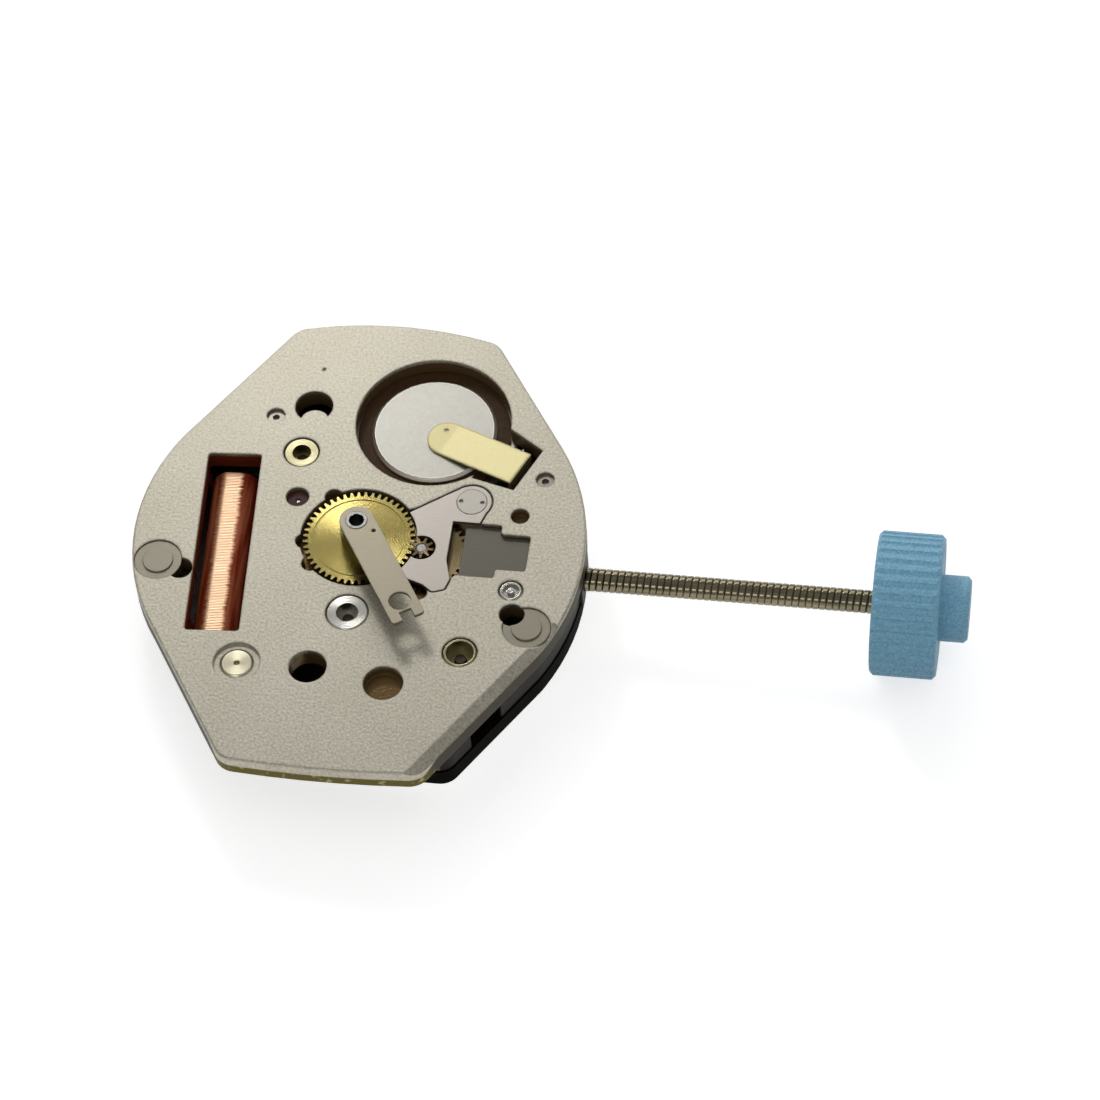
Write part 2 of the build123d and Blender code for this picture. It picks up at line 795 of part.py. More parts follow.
# Module frame: the dark plastic layer under the plate, with the battery pocket and two screw bosses.
with BuildPart() as module_frame:
    with BuildSketch(Plane.XY.offset(-frame_start)):
        add(lower_outline(frame_inset))
        add(lower_outline(frame_inset + frame_width), mode=Mode.SUBTRACT)
        with Locations(battery_place):
            Circle(pocket_outer_radius)
        add(lower_outline(frame_inset), mode=Mode.INTERSECT)
        with Locations(battery_place):
            Circle(pocket_radius, mode=Mode.SUBTRACT)
    extrude(amount=-frame_height)
    # Each boss is held by a rib that runs out into the ring.
    for place, start, angle in ((right_pillar_place, board_end, right_rib_angle),
                                (low_pillar_place, frame_start, low_rib_angle)):
        with BuildSketch(Plane.XY.offset(-start)):
            with Locations(Location((*place, 0), (0, 0, angle))):
                Circle(bridge_boss_radius)
                Rectangle(plate_half_width, rib_width, align=(Align.MIN, Align.CENTER))
            add(lower_outline(frame_inset + frame_width / 2), mode=Mode.INTERSECT)
        extrude(amount=start - frame_end)
    spread([right_pillar_place, low_pillar_place], screw_hole_radius, stator_end, frame_end - stator_end)
    with BuildSketch(Plane.XY.offset(-frame_start)):
        add(winding_trough())
    extrude(amount=frame_start - coil_depth - winding_radius - face_clearance, mode=Mode.SUBTRACT)
    with Locations((collar_start, 0, -frame_start)):
        Box(plate_half_width - collar_start, stem_block_width + 2 * face_clearance,
            stem_block_end + face_clearance - frame_start,
            align=(Align.MIN, Align.CENTER, Align.MAX), mode=Mode.SUBTRACT)
module_frame.part.label = "module_frame"
export_step(module_frame.part, "parts/module_frame.step")


# Back cover: a thin sheet, open over the battery and over the circuit.
with BuildPart() as back_cover:
    with BuildSketch(Plane.XY.offset(-frame_end)):
        add(lower_outline(back_inset))
        with Locations(battery_place):
            Circle(pocket_radius, mode=Mode.SUBTRACT)
        with Locations(*screw_places):
            Circle(screw_hole_radius, mode=Mode.SUBTRACT)
        with Locations(opening_low_left):
            Rectangle(opening_width, opening_height, align=(Align.MIN, Align.MIN), mode=Mode.SUBTRACT)
        with Locations(third_axis, intermediate_axis, rotor_axis, hand_axis):
            Circle(bridge_jewel_radius, mode=Mode.SUBTRACT)
    extrude(amount=-back_thickness)
back_cover.part.label = "back_cover"
export_step(back_cover.part, "parts/back_cover.step")


# Pillars: turned posts riveted in the plate.
with BuildPart() as pillar_centre:
    pillar_post(*centre_pillar)
pillar_centre.part.label = "pillar_centre"
export_step(pillar_centre.part, "parts/pillar_centre.step")

with BuildPart() as pillar_top:
    pillar_post(*top_pillar)
pillar_top.part.label = "pillar_top"
export_step(pillar_top.part, "parts/pillar_top.step")

with BuildPart() as pillar_right:
    pillar_post(*right_pillar)
pillar_right.part.label = "pillar_right"
export_step(pillar_right.part, "parts/pillar_right.step")

with BuildPart() as pillar_low:
    pillar_post(*low_pillar)
pillar_low.part.label = "pillar_low"
export_step(pillar_low.part, "parts/pillar_low.step")


# Lever post: the shouldered pin that the setting lever turns on.
with BuildPart() as lever_post:
    with BuildSketch(level(lever_place, pillar_drop)):
        Circle(lever_post_head)
    extrude(amount=-pillar_head_height)
    chamfer(lever_post.faces().sort_by(Axis.Z)[-1].edges(), pillar_bevel)
    round_bar(lever_place, lever_post_radius, pillar_drop + pillar_head_height,
              lever_end + face_clearance, Mode.ADD)
    round_bar(lever_place, lever_post_head, lever_end + face_clearance, lever_end + pivot_length, Mode.ADD)
    with BuildSketch(level(lever_place, pillar_drop)):
        Circle(lever_post_radius)
        Circle(guide_pin_dimple, mode=Mode.SUBTRACT)
    extrude(amount=-guide_pin_drop, mode=Mode.SUBTRACT)
lever_post.part.label = "lever_post"
export_step(lever_post.part, "parts/lever_post.step")


# Guide pins: two short pins whose dimpled ends show in the plate.
with BuildPart() as guide_pins:
    spread(guide_pin_places, guide_pin_radius, guide_pin_drop, flange_thickness - guide_pin_drop, Mode.ADD)
    spread(guide_pin_places, guide_pin_dimple, guide_pin_drop, guide_pin_dimple)
guide_pins.part.label = "guide_pins"
export_step(guide_pins.part, "parts/guide_pins.step")


# Locks of the dial feet: round cams in shallow seats, each with a raised disc.
with BuildPart() as dial_lock_right:
    round_bar(right_lock_place, lock_radius, lock_top_drop, lock_top_drop + lock_thickness, Mode.ADD)
    round_bar(right_lock_place, lock_disc_radius, 0, lock_top_drop, Mode.ADD)
    round_bar(right_foot_place, foot_hole_radius + press_clearance, 0, flange_thickness, Mode.SUBTRACT)
dial_lock_right.part.label = "dial_lock_right"
export_step(dial_lock_right.part, "parts/dial_lock_right.step")

with BuildPart() as dial_lock_left:
    round_bar(left_lock_place, lock_radius, lock_top_drop, lock_top_drop + lock_thickness, Mode.ADD)
    round_bar(left_lock_place, lock_disc_radius, 0, lock_top_drop, Mode.ADD)
dial_lock_left.part.label = "dial_lock_left"
export_step(dial_lock_left.part, "parts/dial_lock_left.step")


# Centre bush: the plain bearing of the cannon pinion.
with BuildPart() as centre_bush:
    round_bar(hand_axis, bush_radius, motion_recess_depth - bush_lip, flange_thickness, Mode.ADD)
    round_bar(hand_axis, barrel_radius + running_clearance, motion_recess_depth - bush_lip, flange_thickness,
              Mode.SUBTRACT)
centre_bush.part.label = "centre_bush"
export_step(centre_bush.part, "parts/centre_bush.step")


# Rotor jewel: seen as a dark disc with the bright end of the rotor pivot.
with BuildPart() as rotor_jewel:
    round_bar(rotor_axis, jewel_radius, jewel_drop, flange_thickness, Mode.ADD)
    round_bar(rotor_axis, pivot_radius + running_clearance, jewel_drop, flange_thickness, Mode.SUBTRACT)
rotor_jewel.part.label = "rotor_jewel"
export_step(rotor_jewel.part, "parts/rotor_jewel.step")


# Battery: a round cell, its cap towards the dial.
with BuildPart() as battery:
    round_bar(battery_place, battery_radius, can_top, back_face, Mode.ADD)
    fillet(battery.edges().filter_by(GeomType.CIRCLE), can_bevel)
    round_bar(battery_place, cap_radius, cap_top, can_top, Mode.ADD)
    chamfer(battery.edges().group_by(Axis.Z)[-1], cap_bevel)
battery.part.label = "battery"
export_step(battery.part, "parts/battery.step")


# Battery gasket: the brown ring between the cap and the can.
with BuildPart() as battery_gasket:
    round_bar(battery_place, battery_hole_radius - pocket_clearance, can_top - gasket_height, can_top,
              Mode.ADD)
    round_bar(battery_place, cap_radius + press_clearance, can_top - gasket_height, can_top, Mode.SUBTRACT)
battery_gasket.part.label = "battery_gasket"
export_step(battery_gasket.part, "parts/battery_gasket.step")


# Battery contact: a gold strip that rests on the cap, rises, and bends down to the circuit board.
with BuildPart() as battery_contact:
    with BuildSketch(contact_section):
        with BuildLine():
            Polyline((-contact_width, -cap_top), (contact_thickness, -cap_top),
                     (contact_reach, -contact_rise),
                     (contact_reach, -board_level), (contact_reach + contact_foot, -board_level),
                     (contact_reach + contact_foot, contact_thickness - board_level),
                     (contact_reach + contact_thickness, contact_thickness - board_level),
                     (contact_reach + contact_thickness, contact_thickness - contact_rise),
                     (contact_reach, contact_thickness - contact_rise),
                     (contact_thickness, contact_thickness - cap_top),
                     (-contact_width, contact_thickness - cap_top), close=True)
        make_face()
    extrude(amount=contact_width / 2, both=True)
    with BuildSketch(turned_level(contact_tip, contact_angle, board_level)):
        Circle(contact_width / 2)
        Rectangle(contact_reach + contact_thickness, contact_width, align=(Align.MIN, Align.CENTER))
        with Locations((contact_reach, -contact_width / 2)):
            Rectangle(contact_foot, contact_foot_width, align=(Align.MIN, Align.MIN))
    extrude(amount=board_level, mode=Mode.INTERSECT)
    with BuildSketch(turned_level(contact_tip, contact_angle)):
        with Locations(contact_dimple_place):
            Circle(contact_dimple)
    extrude(amount=contact_thickness / 2 - cap_top, mode=Mode.SUBTRACT)
battery_contact.part.label = "battery_contact"
export_step(battery_contact.part, "parts/battery_contact.step")


# Strap under the battery, held by the top pillar's screw.
with BuildPart() as battery_strap:
    with BuildSketch(turned_level(top_pillar_place, strap_angle, back_face)):
        with Locations((strap_length / 2, 0)):
            SlotCenterToCenter(strap_length, strap_width)
        Circle(screw_hole_radius, mode=Mode.SUBTRACT)
    extrude(amount=-strap_thickness)
battery_strap.part.label = "battery_strap"
export_step(battery_strap.part, "parts/battery_strap.step")


# Screws of the back: one into each pillar, all alike.
with BuildPart() as cover_screws:
    for place, head_top in zip(screw_places, screw_head_levels):
        round_bar(place, screw_radius, screw_tip_depth, head_top, Mode.ADD)
        round_bar(place, screw_head_radius, head_top, head_top + screw_head_height, Mode.ADD)
        with BuildSketch(level(place, head_top + screw_head_height - screw_slot_depth)):
            Rectangle(2 * screw_head_radius, screw_slot_width)
        extrude(amount=-screw_slot_depth, mode=Mode.SUBTRACT)
cover_screws.part.label = "cover_screws"
export_step(cover_screws.part, "parts/cover_screws.step")


# Coil core: a flat bar through the winding, with an ear to each pillar.
with BuildPart() as coil_core:
    with BuildSketch(Plane.XY.offset(-core_start)):
        with Locations(coil_frame):
            with Locations((0, (core_top - core_bottom) / 2)):
                Rectangle(core_width, core_top + core_bottom)
        add(coil_ear(core_top - ear_length / 2, top_pillar_place))
        add(coil_ear(ear_length / 2 - core_bottom, low_pillar_place))
    extrude(amount=-core_thickness)
coil_core.part.label = "coil_core"
export_step(coil_core.part, "parts/coil_core.step")


# Coil winding: hundreds of turns of hair-thin wire, a plain barrel at this size.
with BuildPart() as coil_winding:
    with BuildSketch(winding_plane):
        Circle(winding_radius)
        Rectangle(core_width + 2 * face_clearance, core_thickness + 2 * face_clearance, mode=Mode.SUBTRACT)
    extrude(amount=winding_length / 2, both=True)
coil_winding.part.label = "coil_winding"
export_step(coil_winding.part, "parts/coil_winding.step")


# Coil terminals: the small board on the upper ear.
with BuildPart() as coil_terminals:
    with BuildSketch(Plane.XY.offset(-stator_end)):
        with Locations(coil_frame):
            with Locations((0, core_top - ear_length / 2)):
                Rectangle(ear_width, terminal_width)
    extrude(amount=-terminal_thickness)
coil_terminals.part.label = "coil_terminals"
export_step(coil_terminals.part, "parts/coil_terminals.step")


# Stator: the sheet that leads the coil's field round the rotor.
with BuildPart() as stator:
    with BuildSketch(Plane.XY.offset(-core_end)):
        with Locations(coil_frame):
            with Locations((winding_radius + spine_gap + stator_spine_width / 2,
                            (core_top - core_bottom) / 2)):
                Rectangle(stator_spine_width, core_top + core_bottom - ear_length / 2)
        add(coil_ear(core_top - ear_length / 2, top_pillar_place))
        add(coil_ear(ear_length / 2 - core_bottom, low_pillar_place))
        with Locations(rotor_axis):
            Circle(rotor_eye_radius)
        with Locations(rotor_axis):
            Circle(rotor_hole_radius, mode=Mode.SUBTRACT)
    extrude(amount=-stator_thickness)
stator.part.label = "stator"
export_step(stator.part, "parts/stator.step")


# Rotor: a pinion on a fine arbor, with a magnet round its lower end.
with BuildPart() as rotor_pinion:
    round_bar(rotor_axis, arbor_radius, flange_thickness + arbor_shake, bridge_level - arbor_shake, Mode.ADD)
    round_bar(rotor_axis, pivot_radius, jewel_drop + pinion_overhang, bridge_level + pivot_length, Mode.ADD)
    with BuildSketch(level(rotor_axis, intermediate_wheel_level - pinion_overhang)):
        add(toothed_outline(rotor_pinion_teeth, intermediate_module, rotor_angle + 180))
    extrude(amount=-wheel_thickness - 2 * pinion_overhang)
rotor_pinion.part.label = "rotor_pinion"
export_step(rotor_pinion.part, "parts/rotor_pinion.step")

with BuildPart() as rotor_magnet:
    round_bar(rotor_axis, magnet_radius, magnet_level, magnet_level + magnet_height, Mode.ADD)
    round_bar(rotor_axis, arbor_radius + press_clearance, magnet_level, magnet_level + magnet_height,
              Mode.SUBTRACT)
rotor_magnet.part.label = "rotor_magnet"
export_step(rotor_magnet.part, "parts/rotor_magnet.step")


# Third wheel: a toothed disc pressed on the pinion that turns the centre wheel.
with BuildPart() as third_wheel:
    train_wheel(third_axis, third_teeth, third_module, third_wheel_level)
third_wheel.part.label = "third_wheel"
export_step(third_wheel.part, "parts/third_wheel.step")

with BuildPart() as third_pinion:
    train_pinion(third_axis, third_pinion_teeth, centre_module, centre_wheel_level)
third_pinion.part.label = "third_pinion"
export_step(third_pinion.part, "parts/third_pinion.step")


# Intermediate wheel: turned by the rotor, on the pinion that turns the third wheel.
with BuildPart() as intermediate_wheel:
    train_wheel(intermediate_axis, intermediate_teeth, intermediate_module, intermediate_wheel_level)
intermediate_wheel.part.label = "intermediate_wheel"
export_step(intermediate_wheel.part, "parts/intermediate_wheel.step")

with BuildPart() as intermediate_pinion:
    train_pinion(intermediate_axis, intermediate_pinion_teeth, third_module, third_wheel_level)
intermediate_pinion.part.label = "intermediate_pinion"
export_step(intermediate_pinion.part, "parts/intermediate_pinion.step")


# Centre wheel and its arbor, which carries the cannon pinion.
with BuildPart() as centre_wheel:
    with BuildSketch(Plane.XY.offset(-centre_wheel_level)):
        add(toothed_outline(centre_teeth, centre_module))
        Circle(centre_arbor_radius + press_clearance, mode=Mode.SUBTRACT)
    extrude(amount=-wheel_thickness)
centre_wheel.part.label = "centre_wheel"
export_step(centre_wheel.part, "parts/centre_wheel.step")

with BuildPart() as centre_arbor:
    round_bar(hand_axis, cannon_bore_radius - press_clearance, motion_recess_depth, barrel_end, Mode.ADD)
    round_bar(hand_axis, barrel_radius, barrel_end, centre_wheel_level, Mode.ADD)
    round_bar(hand_axis, centre_arbor_radius, centre_wheel_level, bridge_level - arbor_shake, Mode.ADD)
    round_bar(hand_axis, centre_pivot_radius, bridge_level - arbor_shake, bridge_level + pivot_length,
              Mode.ADD)
centre_arbor.part.label = "centre_arbor"
export_step(centre_arbor.part, "parts/centre_arbor.step")


# Cannon pinion: the hollow tube that carries the minute hand.
with BuildPart() as cannon_pinion:
    round_bar(hand_axis, cannon_radius, -cannon_height, cannon_pinion_drop, Mode.ADD)
    with BuildSketch(Plane.XY.offset(-cannon_pinion_drop)):
        add(toothed_outline(cannon_teeth, minute_module, minute_axis_angle))
    extrude(amount=-cannon_pinion_height)
    round_bar(hand_axis, barrel_radius, cannon_pinion_drop + cannon_pinion_height, barrel_end, Mode.ADD)
    round_bar(hand_axis, cannon_bore_radius, -cannon_height, barrel_end, Mode.SUBTRACT)
cannon_pinion.part.label = "cannon_pinion"
export_step(cannon_pinion.part, "parts/cannon_pinion.step")


# Hour wheel: a thin toothed disc on a pipe that turns round the cannon pinion.
with BuildPart() as hour_wheel:
    with BuildSketch(Plane.XY.offset(-hour_wheel_drop)):
        add(toothed_outline(hour_teeth, hour_module, minute_axis_angle))
    extrude(amount=-hour_wheel_thickness)
    round_bar(hand_axis, hour_pipe_radius, -hour_pipe_rise, cannon_pinion_drop - face_clearance, Mode.ADD)
    with BuildSketch(Plane.XY.offset(-hour_wheel_drop)):
        Circle(hour_groove_radius + hour_groove_width)
        Circle(hour_groove_radius, mode=Mode.SUBTRACT)
    extrude(amount=-hour_groove_depth, mode=Mode.SUBTRACT)
    round_bar(hand_axis, cannon_radius + running_clearance, -hour_pipe_rise, cannon_pinion_drop,
              Mode.SUBTRACT)
hour_wheel.part.label = "hour_wheel"
export_step(hour_wheel.part, "parts/hour_wheel.step")


# Minute wheel: a large toothed disc under the cover, its pinion up beside the hour wheel.
with BuildPart() as minute_wheel:
    with BuildSketch(level(minute_axis, minute_wheel_drop)):
        add(toothed_outline(minute_teeth, minute_module, minute_axis_angle + 180 + 180 / minute_teeth))
    extrude(amount=-minute_wheel_thickness)
    round_bar(minute_axis, minute_hub_radius, hour_wheel_drop + hour_wheel_thickness,
              motion_recess_depth - face_clearance, Mode.ADD)
    with BuildSketch(level(minute_axis, minute_pinion_drop)):
        add(toothed_outline(minute_pinion_teeth, hour_module,
                            minute_axis_angle + 180 + 180 / minute_pinion_teeth))
    extrude(amount=minute_pinion_drop - hour_wheel_drop - hour_wheel_thickness - face_clearance)
    round_bar(minute_axis, minute_stud_radius + running_clearance, minute_pinion_drop, motion_recess_depth,
              Mode.SUBTRACT)
minute_wheel.part.label = "minute_wheel"
export_step(minute_wheel.part, "parts/minute_wheel.step")

with BuildPart() as minute_wheel_stud:
    round_bar(minute_axis, minute_stud_radius, stud_drop, flange_thickness, Mode.ADD)
minute_wheel_stud.part.label = "minute_wheel_stud"
export_step(minute_wheel_stud.part, "parts/minute_wheel_stud.step")


# Setting wheel: the upper disc drives the minute wheel, the lower one waits for the clutch.
with BuildPart() as setting_wheel:
    with BuildSketch(level(setting_axis, setting_upper_drop)):
        add(toothed_outline(setting_teeth, minute_module))
    extrude(amount=-setting_upper_thickness)
    round_bar(setting_axis, setting_hub_radius, setting_upper_drop + setting_upper_thickness,
              setting_lower_drop, Mode.ADD)
    round_bar(setting_axis, arbor_radius, setting_lower_drop,
              setting_lower_drop + setting_lower_thickness, Mode.ADD)
setting_wheel.part.label = "setting_wheel"
export_step(setting_wheel.part, "parts/setting_wheel.step")

with BuildPart() as setting_wheel_lower:
    with BuildSketch(level(setting_axis, setting_lower_drop)):
        add(toothed_outline(setting_teeth, minute_module))
        Circle(arbor_radius + press_clearance, mode=Mode.SUBTRACT)
    extrude(amount=-setting_lower_thickness)
setting_wheel_lower.part.label = "setting_wheel_lower"
export_step(setting_wheel_lower.part, "parts/setting_wheel_lower.step")


# Cover of the minute wheel and its round stud.
with BuildPart() as minute_train_cover:
    with BuildSketch(Plane.XY.offset(-cover_drop)):
        add(cover_outline())
        with Locations(minute_axis):
            Circle(cover_opening_radius, mode=Mode.SUBTRACT)
        with Locations(cover_stud_place):
            Circle(cover_stud_radius + press_clearance, mode=Mode.SUBTRACT)
    extrude(amount=-cover_thickness)
minute_train_cover.part.label = "minute_train_cover"
export_step(minute_train_cover.part, "parts/minute_train_cover.step")

with BuildPart() as cover_stud:
    round_bar(cover_stud_place, cover_stud_radius, 0, cover_drop + cover_thickness, Mode.ADD)
    round_bar(cover_stud_place, cover_stem_radius, cover_drop + cover_thickness, flange_thickness, Mode.ADD)
    with BuildSketch(level(cover_stud_place)):
        with PolarLocations(cover_stud_radius - 2 * dot_radius, 2):
            Circle(dot_radius)
    extrude(amount=-dot_depth, mode=Mode.SUBTRACT)
cover_stud.part.label = "cover_stud"
export_step(cover_stud.part, "parts/cover_stud.step")


# Keeper: the dark plate in the stepped window, over the setting wheel.
with BuildPart() as setting_keeper:
    with BuildSketch(Plane.XY.offset(-keeper_drop)):
        add(step_outline(keeper_left, keeper_gap))
    extrude(amount=-keeper_thickness)
setting_keeper.part.label = "setting_keeper"
export_step(setting_keeper.part, "parts/setting_keeper.step")


# Arm: a flat strap pushed on the centre tube, with a hole and a notch at its free end.
with BuildPart() as arm:
    with BuildSketch(turned_level(hand_axis, arm_angle, arm_drop_from_tube - cannon_height)) as arm_face:
        Circle(arm_width / 2)
        Rectangle(arm_length + arm_overhang, arm_width, align=(Align.MIN, Align.CENTER))
        fillet(arm_face.vertices().sort_by(Axis.X)[-2:], arm_corner_radius)
        with Locations((arm_length + arm_overhang, 0)):
            Rectangle(2 * arm_notch_depth, arm_notch_width, mode=Mode.SUBTRACT)
        Circle(cannon_radius + press_clearance, mode=Mode.SUBTRACT)
        with Locations((arm_length, 0)):
            Circle(arm_hole_radius, mode=Mode.SUBTRACT)
        with Locations(arm_mark_place):
            Circle(arm_mark_radius, mode=Mode.SUBTRACT)
    extrude(amount=-arm_thickness)
arm.part.label = "arm"
export_step(arm.part, "parts/arm.step")


# Train bridge: the back bearing plate of the going train, with its spacers for two screws.
with BuildPart() as train_bridge:
    with BuildSketch(Plane.XY.offset(-bridge_level)):
        with Locations(hand_axis, third_axis, intermediate_axis, rotor_axis, centre_pillar_place,
                       top_pillar_place):
            Circle(bridge_margin)
        make_hull()
    extrude(amount=-bridge_thickness)
    spread([centre_pillar_place, top_pillar_place], bridge_boss_radius, bridge_end,
           frame_end - bridge_end, Mode.ADD)
    spread([top_pillar_place], bridge_boss_radius, stator_end, bridge_level - stator_end, Mode.ADD)
    spread([centre_pillar_place, top_pillar_place], screw_hole_radius, stator_end, frame_end - stator_end)
    spread([third_axis, intermediate_axis, rotor_axis], bridge_jewel_radius + press_clearance, bridge_level,
           bridge_thickness)
    spread([hand_axis], centre_pivot_radius + running_clearance, bridge_level, bridge_thickness)
train_bridge.part.label = "train_bridge"
export_step(train_bridge.part, "parts/train_bridge.step")


# Bridge jewels: three pressed rings for the fine pivots.
with BuildPart() as bridge_jewels:
    jewel_places = [third_axis, intermediate_axis, rotor_axis]
    spread(jewel_places, bridge_jewel_radius, bridge_level, bridge_thickness, Mode.ADD)
    spread(jewel_places, pivot_radius + running_clearance, bridge_level, bridge_thickness)
bridge_jewels.part.label = "bridge_jewels"
export_step(bridge_jewels.part, "parts/bridge_jewels.step")


# Stem: pilot, square, collar, lever groove, plain shaft and a long threaded end.
with BuildPart() as stem:
    with BuildSketch(Plane.XZ):
        with BuildLine():
            Polyline(*[(x, r - stem_depth) for x, r in stem_profile()], close=True)
        make_face()
    revolve(axis=stem_axis)
    with Locations((square_start, 0, -stem_depth)):
        Box(collar_start - square_start, square_side, square_side,
            align=(Align.MIN, Align.CENTER, Align.CENTER))
stem.part.label = "stem"
export_step(stem.part, "parts/stem.step")


# Clutch: slides on the square, with a groove for the yoke and teeth towards the setting wheel.
with BuildPart() as clutch:
    with BuildSketch(Plane.YZ.offset(clutch_start)):
        with Locations((0, -stem_depth)):
            Circle(clutch_radius)
    extrude(amount=clutch_length)
    with BuildSketch(Plane.YZ.offset(clutch_start + clutch_groove_start)):
        with Locations((0, -stem_depth)):
            Circle(clutch_radius)
            Circle(clutch_groove_radius, mode=Mode.SUBTRACT)
    extrude(amount=clutch_groove_width, mode=Mode.SUBTRACT)
    with BuildSketch(Plane.YZ.offset(clutch_start)):
        with Locations((0, -stem_depth)):
            with PolarLocations(clutch_radius, clutch_teeth):
                Rectangle(clutch_radius, pi * clutch_radius / clutch_teeth)
    extrude(amount=clutch_tooth_height, mode=Mode.SUBTRACT)
    with BuildSketch(Plane.YZ.offset(clutch_start)):
        with Locations((0, -stem_depth)):
            Rectangle(square_side + 2 * running_clearance, square_side + 2 * running_clearance)
    extrude(amount=clutch_length, mode=Mode.SUBTRACT)
clutch.part.label = "clutch"
export_step(clutch.part, "parts/clutch.step")


# Setting lever: turns on its post when the stem is pulled, with a finger in the stem's groove.
with BuildPart() as setting_lever:
    with BuildSketch(Plane.XY.offset(-lever_level)):
        with Locations(lever_place):
            Circle(lever_hub_radius)
        with Locations(lever_finger):
            Circle(lever_arm_radius)
        make_hull()
        with Locations(lever_place):
            Circle(lever_post_radius + running_clearance, mode=Mode.SUBTRACT)
    extrude(amount=-lever_thickness)
    with BuildSketch(level(lever_finger, lever_end)):
        Rectangle(lever_finger_width, lever_finger_length)
    extrude(amount=lever_end + groove_radius + running_clearance - stem_depth)
setting_lever.part.label = "setting_lever"
export_step(setting_lever.part, "parts/setting_lever.step")


# Yoke: a bent spring blade whose end lies in the clutch's groove.
with BuildPart() as yoke:
    for start, end in ((yoke_tail, yoke_bend), (yoke_bend, yoke_fork)):
        with BuildSketch(Plane.XY.offset(-lever_level)):
            with Locations(start, end):
                Circle(yoke_width / 2)
            make_hull()
        extrude(amount=-lever_thickness)
    with BuildSketch(level((clutch_start + clutch_groove_start + clutch_groove_width / 2, 0), lever_end)):
        Rectangle(yoke_tab_width, yoke_width)
    extrude(amount=lever_end + clutch_groove_radius + running_clearance - stem_depth)
yoke.part.label = "yoke"
export_step(yoke.part, "parts/yoke.step")


# Crown knob: a fluted plastic knob with a small boss on its outer face.
with BuildPart() as crown_knob:
    with BuildSketch(Plane.YZ.offset(knob_start)):
        with Locations((0, -stem_depth)):
            Circle(knob_radius)
    extrude(amount=knob_length)
    chamfer(crown_knob.edges().filter_by(GeomType.CIRCLE), knob_edge)
    with BuildSketch(Plane.YZ.offset(knob_start)):
        with Locations((0, -stem_depth)):
            with PolarLocations(knob_radius + flute_radius - flute_depth, flute_count):
                Circle(flute_radius)
    extrude(amount=knob_length, mode=Mode.SUBTRACT)
    with BuildSketch(Plane.YZ.offset(knob_start + knob_length)):
        with Locations((0, -stem_depth)):
            Circle(knob_boss_radius)
    extrude(amount=knob_boss_length)
    chamfer(crown_knob.faces().sort_by(Axis.X)[-1].edges(), knob_edge)
    with BuildSketch(Plane.YZ.offset(knob_start)):
        with Locations((0, -stem_depth)):
            Circle(thread_radius + press_clearance)
    extrude(amount=knob_bore_depth, mode=Mode.SUBTRACT)
crown_knob.part.label = "crown_knob"
export_step(crown_knob.part, "parts/crown_knob.step")


# Circuit board: down the right side and along the bottom, clear of the battery.
with BuildPart() as circuit_board:
    with BuildSketch(Plane.XY.offset(-board_level)):
        with BuildLine():
            Polyline((board_left, board_top), (plate_half_width, board_top),
                     (plate_half_width, board_low_edge),
                     (board_low_left, board_low_edge), (board_low_left, board_low_edge + board_strip),
                     (board_left, board_low_edge + board_strip), close=True)
        make_face()
        add(lower_outline(board_inset), mode=Mode.INTERSECT)
        with Locations(battery_place):
            Circle(pocket_outer_radius + face_clearance, mode=Mode.SUBTRACT)
        with Locations(right_pillar_place):
            Circle(screw_hole_radius, mode=Mode.SUBTRACT)
    extrude(amount=-board_thickness)
circuit_board.part.label = "circuit_board"
export_step(circuit_board.part, "parts/circuit_board.step")


# Circuit chip under its round black cover.
with BuildPart() as circuit_chip:
    with BuildSketch(level(chip_place, board_end)):
        RectangleRounded(chip_width, chip_height, chip_radius)
    extrude(amount=-chip_thickness)
    fillet(circuit_chip.faces().sort_by(Axis.Z)[0].edges(), chip_thickness / 2)
circuit_chip.part.label = "circuit_chip"
export_step(circuit_chip.part, "parts/circuit_chip.step")


# Quartz crystal in its round can.
with BuildPart() as quartz_crystal:
    with BuildSketch(Plane.YZ.offset(crystal_place[0] - crystal_length / 2)):
        with Locations((crystal_place[1], -crystal_level)):
            Circle(crystal_radius)
    extrude(amount=crystal_length)
    fillet(quartz_crystal.edges().filter_by(GeomType.CIRCLE), crystal_edge)
quartz_crystal.part.label = "quartz_crystal"
export_step(quartz_crystal.part, "parts/quartz_crystal.step")
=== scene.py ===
# %% [markdown]
# # A quartz watch movement, seen from the dial side
# The solids come ready made: every wheel, post and plate is a CAD node in metres. What is left to do
# here is what the eye reads: how each metal was worked, the wire on the coil, the light of a small
# white studio, and the camera. A cell of text says what comes next and why it is made that way, and a
# cell of code then makes it.

# %% Load the solids
import math
import random

import bmesh
import bpy
from mathutils import Matrix, Vector


